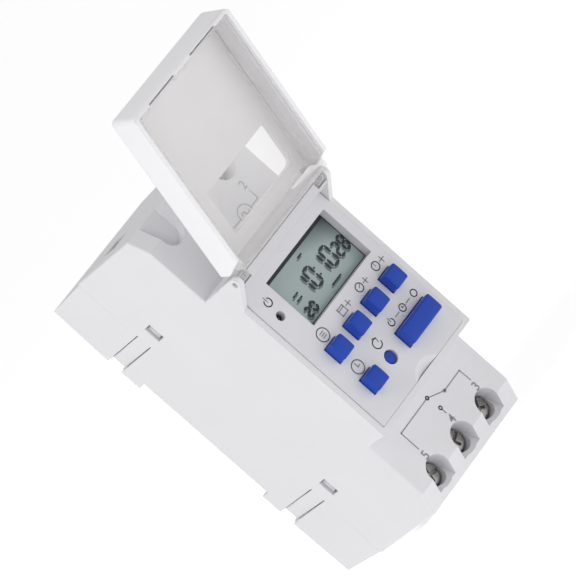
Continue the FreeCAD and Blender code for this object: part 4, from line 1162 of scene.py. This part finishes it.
# --------------------------------------------------------------------------- display
@dataclass
class Display:
    """The display cell in its window, with its digits and what lies behind."""

    shop: Workshop
    left: float = -9.4
    right: float = 13.9
    foot: float = 2.7
    top: float = 16.1
    # The painted gap shadow band: mask is its width inside the window at the left (half that at the foot and
    # right), then its width along the top, its reach outside the window and its thickness.
    mask: float = 0.42
    gap_shadow_top: float = 1.092
    gap_shadow_reach: float = 0.9
    gap_shadow_film: float = 0.015
    thickness: float = 0.66
    time_size: Spot = (2.1, 4.6)
    seconds_size: Spot = (1.4, 3.3)
    day_size: Spot = (1.2, 2.1)
    time_foot: float = 6.6
    day_foot: float = 3.9
    bar_foot: float = 4.5
    bar_stroke: float = 0.42
    sign_foot: float = 13.8
    sign_left: float = 2.2
    sign_right: float = 3.4
    sign_stroke: float = 0.42
    shadow_film: float = 0.006
    digit_film: float = 0.01
    shadow_shift: Spot = (-0.55, -0.3)

    def build(self) -> None:
        """Build the display's pieces."""
        self.shop.dress("lcd_reflector", "lcd_holder", "zebra_strips")
        low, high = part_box("lcd_glass")
        cell = Form.box(low, high).bevel(0.12 * MM, 2, sharper_than(50.0))
        middle = (low + high) / 2
        half = ((self.right - self.left) / 2 * MM, (self.top - self.foot) / 2 * MM)
        face = DisplayFace("display_face", DISPLAY_LIGHT, DISPLAY_PAINTED_SHADE, tuple(middle), half)
        slot = self.shop.slots["lcd_glass"]
        cell.piece("display_cell", "case", slot, face.make(), ("lcd_glass",))
        depth = -low.y
        self._build_gap_shadow(depth)
        self._build_digits(depth)

    def _build_gap_shadow(self, depth: float) -> None:
        """Build the painted shadow round the picture: a black band that stands for the shaded gap between
        the window's walls and the glass, widest along the top.

        Args:
            depth: How far the glass's face is in front of the rail seat, in metres.
        """
        wide = self.gap_shadow_reach
        outer = Form.box(((self.left - wide) * MM, -depth - self.gap_shadow_film * MM, (self.foot - wide) * MM),
                         ((self.right + wide) * MM, -depth, (self.top + wide) * MM))
        hole = Form.box(((self.left + self.mask) * MM, -depth - MM, (self.foot + self.mask * 0.5) * MM),
                        ((self.right - self.mask * 0.5) * MM, -depth + MM, (self.top - self.gap_shadow_top) * MM))
        # Near-black ink: painted shadow of the gap under the window's walls.
        black = Ink("gap_shadow_ink", PAINTED_GAP_SHADOW, PAINTED_GAP_SHADOW_THIN).make()
        self.shop.detail(outer.cut(hole), "display_gap_shadow", "case", "holder_plastic", black)

    def _segment(self, picture: Printing, centre: Spot, length: float, upright: bool) -> None:
        """Add one segment: a long six-sided bar with pointed ends.

        Args:
            picture: The print to add to.
            centre: The segment's middle, as X and Z.
            length: The segment's length.
            upright: Whether it stands.
        """
        bar = Form()
        bmesh.ops.create_circle(bar.mesh, cap_ends=True, segments=6, radius=0.5)
        stretch = Matrix.Diagonal((length * MM, self.thickness * 1.15 * MM, 1.0, 1.0))
        bmesh.ops.transform(bar.mesh, matrix=stretch, verts=bar.mesh.verts)
        lifted = bmesh.ops.extrude_face_region(bar.mesh, geom=bar.mesh.faces[:])
        raised = [item for item in lifted["geom"] if isinstance(item, bmesh.types.BMVert)]
        bmesh.ops.translate(bar.mesh, vec=(0.0, 0.0, picture.film), verts=raised)
        if upright:
            bar.turn(math.pi / 2, Facing.Z, (0.0, 0.0, 0.0))
        bar.turn(math.pi / 2, Facing.X, (0.0, 0.0, 0.0))
        picture.form.add(bar.move((centre[0] * MM, -picture.depth, centre[1] * MM)))

    def _digit(self, picture: Printing, number: int, corner: Spot, width: float, height: float) -> None:
        """Add one seven-segment numeral whose lower left corner is given.

        Args:
            picture: The print to add to.
            number: The numeral, 0 to 9.
            corner: Its lower left corner, as X and Z.
            width: Its width.
            height: Its height.
        """
        lit = ("abcdef", "bc", "abged", "abgcd", "fgbc", "afgcd", "afgedc", "abc", "abcdefg", "abcdfg")
        x, z = corner
        half = height / 2
        level = {"a": z + height, "g": z + half, "d": z}
        upright = {"f": (x, z + 1.5 * half), "e": (x, z + half / 2),
                   "b": (x + width, z + 1.5 * half), "c": (x + width, z + half / 2)}
        for name in lit[number]:
            if name in level:
                self._segment(picture, (x + width / 2, level[name]), width * 1.05, False)
            else:
                self._segment(picture, upright[name], half * 1.0, True)

    def _compose(self, picture: Printing, shift: Spot) -> None:
        """Lay out the time, the seconds and the small signs.

        Args:
            picture: The print to add to.
            shift: How far everything is moved, as X and Z.
        """
        dx, dz = shift
        for number, x in zip((1, 0, 1, 0), (-2.9, 0.2, 3.6, 6.7)):
            self._digit(picture, number, (x + dx, self.time_foot + dz), *self.time_size)
        for z in (7.9, 9.8):
            picture.dot((3.0 + dx, z + dz), 0.26)
        for number, x in zip((2, 8), (9.8, 12.0)):
            self._digit(picture, number, (x + dx, self.time_foot + dz), *self.seconds_size)
        for number, x in zip((2, 0), (-6.6, -4.7)):
            self._digit(picture, number, (x + dx, self.day_foot + dz), *self.day_size)
        for x, length in ((3.0, 0.9), (4.3, 0.5), (5.2, 0.9)):
            z = self.bar_foot + dz
            picture.line([(x + dx, z), (x + length + dx, z)], self.bar_stroke)
        for x, z in ((-5.9, 9.4), (-4.9, 9.4), (-5.9, 8.2), (-4.9, 8.2)):
            picture.line([(x + dx, z + dz), (x + 0.5 + dx, z + dz)], self.bar_stroke)
        z = self.sign_foot + dz
        picture.line([(self.sign_left + dx, z), (self.sign_right + dx, z)], self.sign_stroke)

    def _build_digits(self, depth: float) -> None:
        """Build the dark digits and the paler shadow that they throw on the reflector.

        Args:
            depth: How far the glass's face is in front of the rail seat, in metres.
        """
        shadow = Printing(depth, film=self.shadow_film * MM)
        self._compose(shadow, self.shadow_shift)
        digits = Printing(depth + self.shadow_film * MM, film=self.digit_film * MM)
        self._compose(digits, (0.0, 0.0))
        dim = Ink("digit_shadow", SHADOW_GREY, SHADOW_WORN).make()
        dark = Ink("digit_dark", DIGIT_DARK, DIGIT_WORN).make()
        slot = self.shop.slots["lcd_glass"]
        self.shop.detail(shadow.form, "display_digit_shadows", "case", slot, dim)
        self.shop.detail(digits.form, "display_digits", "case", slot, dark)


# --------------------------------------------------------------------------- lid
@dataclass
class Lid:
    """The white lid with its clear liner, modelled closed and then swung open.

    Places along the lid are given by s, the distance below the hinge axis, and d, the
    distance in front of it, both in millimetres.
    """

    shop: Workshop
    hinge_depth: float = 53.1
    hinge_z: float = 21.5
    opening: float = math.radians(158.0)
    half_width: float = 18.0
    start: float = 2.5
    length: float = 44.4
    rim: float = -4.95
    face: float = 3.1
    plate: float = 1.2
    wall: float = 1.0
    corner: float = 1.3
    liner: float = 0.9
    liner_rim: float = -4.15

    def build(self) -> None:
        """Build the lid's two mouldings."""
        self.shop.replace(self._open(self._shell()), "lid_frame", "lid_shell")
        self.shop.replace(self._open(self._liner()), "lid_liner", "lid_clear_liner")

    def _block(self, x: Spot, d: Spot, s: Spot) -> Form:
        """Return a box of the closed lid from its limits in x, d and s.

        Args:
            x: The limits across, in millimetres.
            d: The limits in front of the hinge axis.
            s: The limits below the hinge axis.

        Returns:
            The box.
        """
        low = (x[0] * MM, -(self.hinge_depth + d[1]) * MM, (self.hinge_z - s[1]) * MM)
        high = (x[1] * MM, -(self.hinge_depth + d[0]) * MM, (self.hinge_z - s[0]) * MM)
        return Form.box(low, high)

    def _open(self, form: Form) -> Form:
        """Swing a form about the hinge to where the open lid rests."""
        pivot = (0.0, -self.hinge_depth * MM, self.hinge_z * MM)
        return form.turn(-self.opening, Facing.X, pivot)

    def _near(self, d: float | None = None, s: float | None = None, x: float | None = None) -> Picker:
        """Return a test for edges that lie wholly at a d, an s or a distance from the middle.

        Args:
            d: A distance in front of the hinge axis, or None.
            s: A distance below the hinge axis, or None.
            x: A distance from the middle, or None.

        Returns:
            The test.
        """
        def test(edge: bmesh.types.BMEdge) -> bool:
            """Tell whether an edge lies wholly at one of the given places.

            Args:
                edge: The edge to test.

            Returns:
                True if it does.
            """
            for vert in edge.verts:
                if d is not None and abs(-vert.co.y / MM - self.hinge_depth - d) > 0.01:
                    return False
                if s is not None and abs(self.hinge_z - vert.co.z / MM - s) > 0.01:
                    return False
                if x is not None and abs(abs(vert.co.x / MM) - x) > 0.01:
                    return False
            return True
        return test

    def _ear_room(self) -> list[Form]:
        """Return what the two hinge ears need from the lid's side walls.

        Returns:
            The blocks to cut away.
        """
        slope, reach, run = math.radians(35.0), 1.75, 12.0
        tip = (reach * math.sin(slope), reach * math.cos(slope))
        cuts = []
        for side in (-1.0, 1.0):
            x = sorted((side * 16.4, side * 19.0))
            wedge = self._block((x[0], x[1]), (-run, 0.0), (-run, 0.0))
            pivot = (0.0, -self.hinge_depth * MM, self.hinge_z * MM)
            wedge.turn(-slope, Facing.X, pivot)
            wedge.move((0.0, -tip[0] * MM, -tip[1] * MM))
            keep = self._block((x[0], x[1]), (-run * 2, tip[0] + 0.9), (-run * 2, run * 2))
            cuts.append(wedge._boolean("INTERSECT", keep))
        return cuts

    def _shell(self) -> Form:
        """Return the white moulding: a face with a window and three walls.

        Returns:
            The moulding, closed.
        """
        half = self.half_width
        outer = self._block((-half, half), (self.rim, self.face), (self.start, self.length))
        picks = (self._near(d=self.face, s=self.length), self._near(d=self.face, x=half),
                 self._near(s=self.length, x=half))
        outer.bevel(self.corner * MM, 6, lambda edge: any(pick(edge) for pick in picks))
        inner = half - self.wall
        hollow = self._block((-inner, inner), (self.rim - 2.0, self.face - self.plate),
                             (self.start - 2.0, self.length - self.wall))
        hollow.bevel(0.45 * MM, 3, lambda edge: self._near(s=self.length - self.wall)(edge)
                     or self._near(d=self.face - self.plate, x=inner)(edge))
        window = self._block((-8.6, 13.8), (0.0, self.face + 2.0), (6.2, 17.3))
        window.bevel(1.5 * MM, 5, self._near(s=6.2, x=13.8))
        inside = self.length - self.wall
        catches = [self._block(x, (self.rim - 1.0, self.rim + 1.6), (inside + 0.1, inside + 0.42))
                   for x in ((-12.4, -3.2), (3.2, 12.4))]
        return outer.cut(hollow, window, *catches, *self._ear_room())

    def _liner(self) -> Form:
        """Return the clear moulding: a tray with ridges, lugs and pins.

        Returns:
            The moulding, closed.
        """
        half = self.half_width - self.wall - 0.05
        near, far = self.start + 0.1, self.length - self.wall - 0.05
        floor = self.face - self.plate - 0.02
        tray = self._block((-half, half), (self.liner_rim, floor), (near, far))
        tray.bevel(0.5 * MM, 4, lambda edge: self._near(d=floor)(edge) or self._near(s=far, x=half)(edge))
        inner = half - self.liner
        hollow = self._block((-inner, inner), (self.liner_rim - 2.0, floor - self.liner),
                             (near + self.liner, far - self.liner))
        hollow.bevel(0.5 * MM, 4, lambda edge: not self._near(d=self.liner_rim - 2.0)(edge))
        catches = [self._block(x, (self.liner_rim - 1.0, self.liner_rim + 1.0), (far - 1.5, far + 1.0))
                   for x in ((-12.4, -3.2), (3.2, 12.4))]
        tray = tray.cut(hollow, *catches, *self._ear_room())
        for side in (-1.0, 1.0):
            tray = tray.fuse(self._ridge(side * inner, near, far), *self._lug(side))
        return tray.fuse(*self._apron(near))

    def _apron(self, near: float) -> list[Form]:
        """Return the strip along the hinge: a thin sheet with a round bead on its edge.

        Args:
            near: Where the tray starts, below the hinge axis.

        Returns:
            The sheet and its bead.
        """
        reach, edge, middle = 14.3, 0.9, 1.25
        sheet = self._block((-reach, reach), (0.95, self.face - self.plate - 0.02), (edge, near + 0.4))
        y, z = -(self.hinge_depth + middle) * MM, (self.hinge_z - edge) * MM
        bead = Form.rod((-reach * MM, y, z), (reach * MM, y, z), 0.5 * MM, sides=24)
        return [sheet.bevel(0.15 * MM, 2, sharper_than(50.0)), bead]

    def _ridge(self, x: float, near: float, far: float) -> Form:
        """Return a step that runs along the inside of a side wall.

        Args:
            x: The wall's inner face.
            near: Where the step starts, below the hinge axis.
            far: Where it ends.

        Returns:
            The step.
        """
        inward = -math.copysign(0.35, x)
        limits = sorted((x + inward, x + math.copysign(0.2, x)))
        step = self._block((limits[0], limits[1]), (-1.6, 1.2), (near + 2.4, far - 1.4))
        return step.bevel(0.2 * MM, 2, sharper_than(50.0))

    def _lug(self, side: float) -> list[Form]:
        """Return a hinge lug: its eye, its arm and its pin.

        Args:
            side: Which side, -1 or 1.

        Returns:
            The lug's parts.
        """
        outer = 18.0 - 1.4 - 0.4
        inner = outer - 2.2
        x = sorted((side * inner, side * outer))
        y, z = -self.hinge_depth * MM, self.hinge_z * MM
        eye = Form.rod((x[0] * MM, y, z), (x[1] * MM, y, z), 1.1 * MM, sides=32)
        arm = self._block((x[0], x[1]), (0.55, self.face - self.plate), (-0.2, self.start + 1.2))
        pin = Form.rod((side * (outer - 0.3) * MM, y, z), (side * 17.5 * MM, y, z), 0.6 * MM, sides=24)
        return [eye, arm.bevel(0.2 * MM, 2, sharper_than(50.0)), pin]


# --------------------------------------------------------------------------- terminals
@dataclass
class Terminals:
    """The five screw terminals."""

    shop: Workshop
    count: int = 5
    recess: float = 1.1 * MM
    head: float = 1.8 * MM
    washer_thickness: float = 0.5 * MM
    washer_reach: float = 0.28 * MM

    def build(self) -> None:
        """Build the screws and dress the cages and bars."""
        # The washers are near black: a washer under each screw head, coloured as painted shade for the
        # shaded gap between the head and its well.
        self.washer = Plated("washer_painted_gap_shade", (0.07, 0.07, 0.07), roughness=0.4).make()
        self.shop.dress("contact_bars")
        for number in range(1, self.count + 1):
            self._build_screw(number)
            self.shop.dress(f"terminal_cage_{number}")

    def _build_screw(self, number: int) -> None:
        """Build one screw: a rounded head with a crossed slot, and a threaded shank.

        Args:
            number: The terminal's number.
        """
        node = f"terminal_screw_{number}"
        low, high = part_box(node)
        x, z = (low.x + high.x) / 2, (low.z + high.z) / 2
        radius = (high.x - low.x) / 2
        under = low.y + self.head
        head = Form.rod((x, under, z), (x, low.y, z), radius)
        head.bevel(0.4 * MM, 4, lambda edge: sharper_than(50.0)(edge) and edge.verts[0].co.y < low.y + 1e-6)
        centre = Vector((x, 0.0, z))
        angle = math.radians(20.0 + 35.0 * number)
        for turn, length, width in ((0.0, 2.2 * radius, 0.8 * MM), (math.pi / 2, 1.3 * radius, 0.7 * MM)):
            half = Vector((length / 2, self.recess / 2, width / 2))
            slot = Form.box(-half, half).turn(angle + turn, Facing.Y, (0.0, 0.0, 0.0))
            slot.move((centre.x, low.y + self.recess / 2 - 0.1 * MM, centre.z))
            head = head.cut(slot)
        shank = Form.rod((x, high.y, z), (x, under + 0.1 * MM, z), 1.5 * MM, sides=32)
        self.shop.replace(head.add(shank), node, f"terminal_screw_{number}_body")
        # Near-black washer under the head: painted shade in the gap round the head.
        washer = Form.rod((x, under + self.washer_thickness, z), (x, under, z), radius + self.washer_reach)
        washer.bevel(0.08 * MM, 2, sharper_than(50.0))
        self.shop.detail(washer, f"terminal_washer_{number}", f"screw_{number}", "screw_steel", self.washer)


# --------------------------------------------------------------------------- inside
@dataclass
class Works:
    """What the case holds: boards, relay and the parts on them."""

    shop: Workshop
    nodes: tuple[str, ...] = (
        "power_board", "display_board", "riser_board", "barrier_sheet", "board_screws",
        "microcontroller", "crystal", "backup_cell", "film_capacitor", "electrolytic_capacitors",
        "varistor", "fuse_resistor", "rectifier_diodes", "relay_base", "relay_cover",
        "relay_yoke", "relay_core", "relay_coil", "relay_armature", "moving_contact", "fixed_contact",
    )

    def build(self) -> None:
        """Dress the parts."""
        self.shop.dress(*self.nodes)


# --------------------------------------------------------------------------- studio
@dataclass
class Studio:
    """Floor, lights and camera."""

    azimuth: float = math.radians(-32.868)
    elevation: float = math.radians(6.030)
    roll: float = math.radians(48.476)
    distance: float = 1185.3 * MM
    aim: Point = (17.668 * MM, -10.520 * MM, 7.126 * MM)
    sensor: float = 36.0
    lens: float = 343.51
    floor_gap: float = 0.4 * MM
    floor_glow: float = 0.46
    sky: float = 0.55

    def build(self, low: Vector) -> None:
        """Build the set under an object whose lowest corner is given.

        Args:
            low: The lowest corner of the object, in metres.
        """
        self._floor(low.z - self.floor_gap)
        self._lights()
        self._camera()
        scene = bpy.context.scene
        scene.view_settings.view_transform = "Standard"

    def _floor(self, height: float) -> None:
        """Build the pale floor.

        Args:
            height: The floor's height, in metres.
        """
        book = NodeBook("studio_floor")
        speck = book.noise(40.0 * MM, 2.0)
        inputs = {
            "Base Color": book.blend(speck, (0.93, 0.93, 0.935), (0.95, 0.95, 0.955)),
            "Roughness": speck * 0.1 + 0.7,
            "Emission Color": (1.0, 1.0, 1.0, 1.0),
            "Emission Strength": self.floor_glow,
        }
        material = book.close(book.surface(inputs))
        form = Form()
        bmesh.ops.create_grid(form.mesh, x_segments=8, y_segments=8, size=25.0)
        form.move((0.0, 0.0, height))
        mesh = form.as_mesh("studio_floor")
        mesh.materials.append(material)
        floor = bpy.data.objects.new("studio_floor", mesh)
        bpy.context.scene.collection.objects.link(floor)
        floor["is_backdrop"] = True

    def _lights(self) -> None:
        """Build the white surroundings and the soft lamps."""
        world = bpy.data.worlds.new("studio")
        world.use_nodes = True
        background = world.node_tree.nodes["Background"]
        background.inputs["Color"].default_value = (1.0, 1.0, 1.0, 1.0)
        background.inputs["Strength"].default_value = self.sky
        bpy.context.scene.world = world
        lamps = (
            ("key_lamp", (-0.45, -0.17, 0.52), 0.3, 1.45),
            ("fill_lamp", (0.5, -1.0, 0.1), 0.6, 0.25),
        )
        for name, place, size, power in lamps:
            lamp = bpy.data.lights.new(name, "AREA")
            lamp.energy = power
            lamp.size = size
            thing = bpy.data.objects.new(name, lamp)
            thing.location = place
            thing.rotation_mode = "QUATERNION"
            thing.rotation_quaternion = (-Vector(place)).to_track_quat("-Z", "Y")
            bpy.context.scene.collection.objects.link(thing)

    def _camera(self) -> None:
        """Build the camera, rolled about its line of sight."""
        camera = bpy.data.cameras.new("camera")
        camera.sensor_width = self.sensor
        camera.lens = self.lens
        camera.clip_start = 0.05
        camera.clip_end = 60.0
        back = Vector((math.sin(self.azimuth) * math.cos(self.elevation),
                       -math.cos(self.azimuth) * math.cos(self.elevation),
                       math.sin(self.elevation)))
        thing = bpy.data.objects.new("camera", camera)
        thing.location = Vector(self.aim) + back * self.distance
        level = back.to_track_quat("Z", "Y")
        thing.rotation_mode = "QUATERNION"
        thing.rotation_quaternion = Matrix.Rotation(-self.roll, 3, back).to_quaternion() @ level
        bpy.context.scene.collection.objects.link(thing)
        bpy.context.scene.camera = thing


def main() -> None:
    """Build the time switch and its studio."""
    logging.basicConfig(level=logging.INFO, format="%(name)s %(message)s")
    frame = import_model()
    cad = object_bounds()
    shop = Workshop(frame)
    for assembly in (Case(shop), KeyPanel(shop), Display(shop), Lid(shop), Terminals(shop), Works(shop)):
        assembly.build()
    Studio().build(cad[0])


if __name__ == "__main__":
    main()
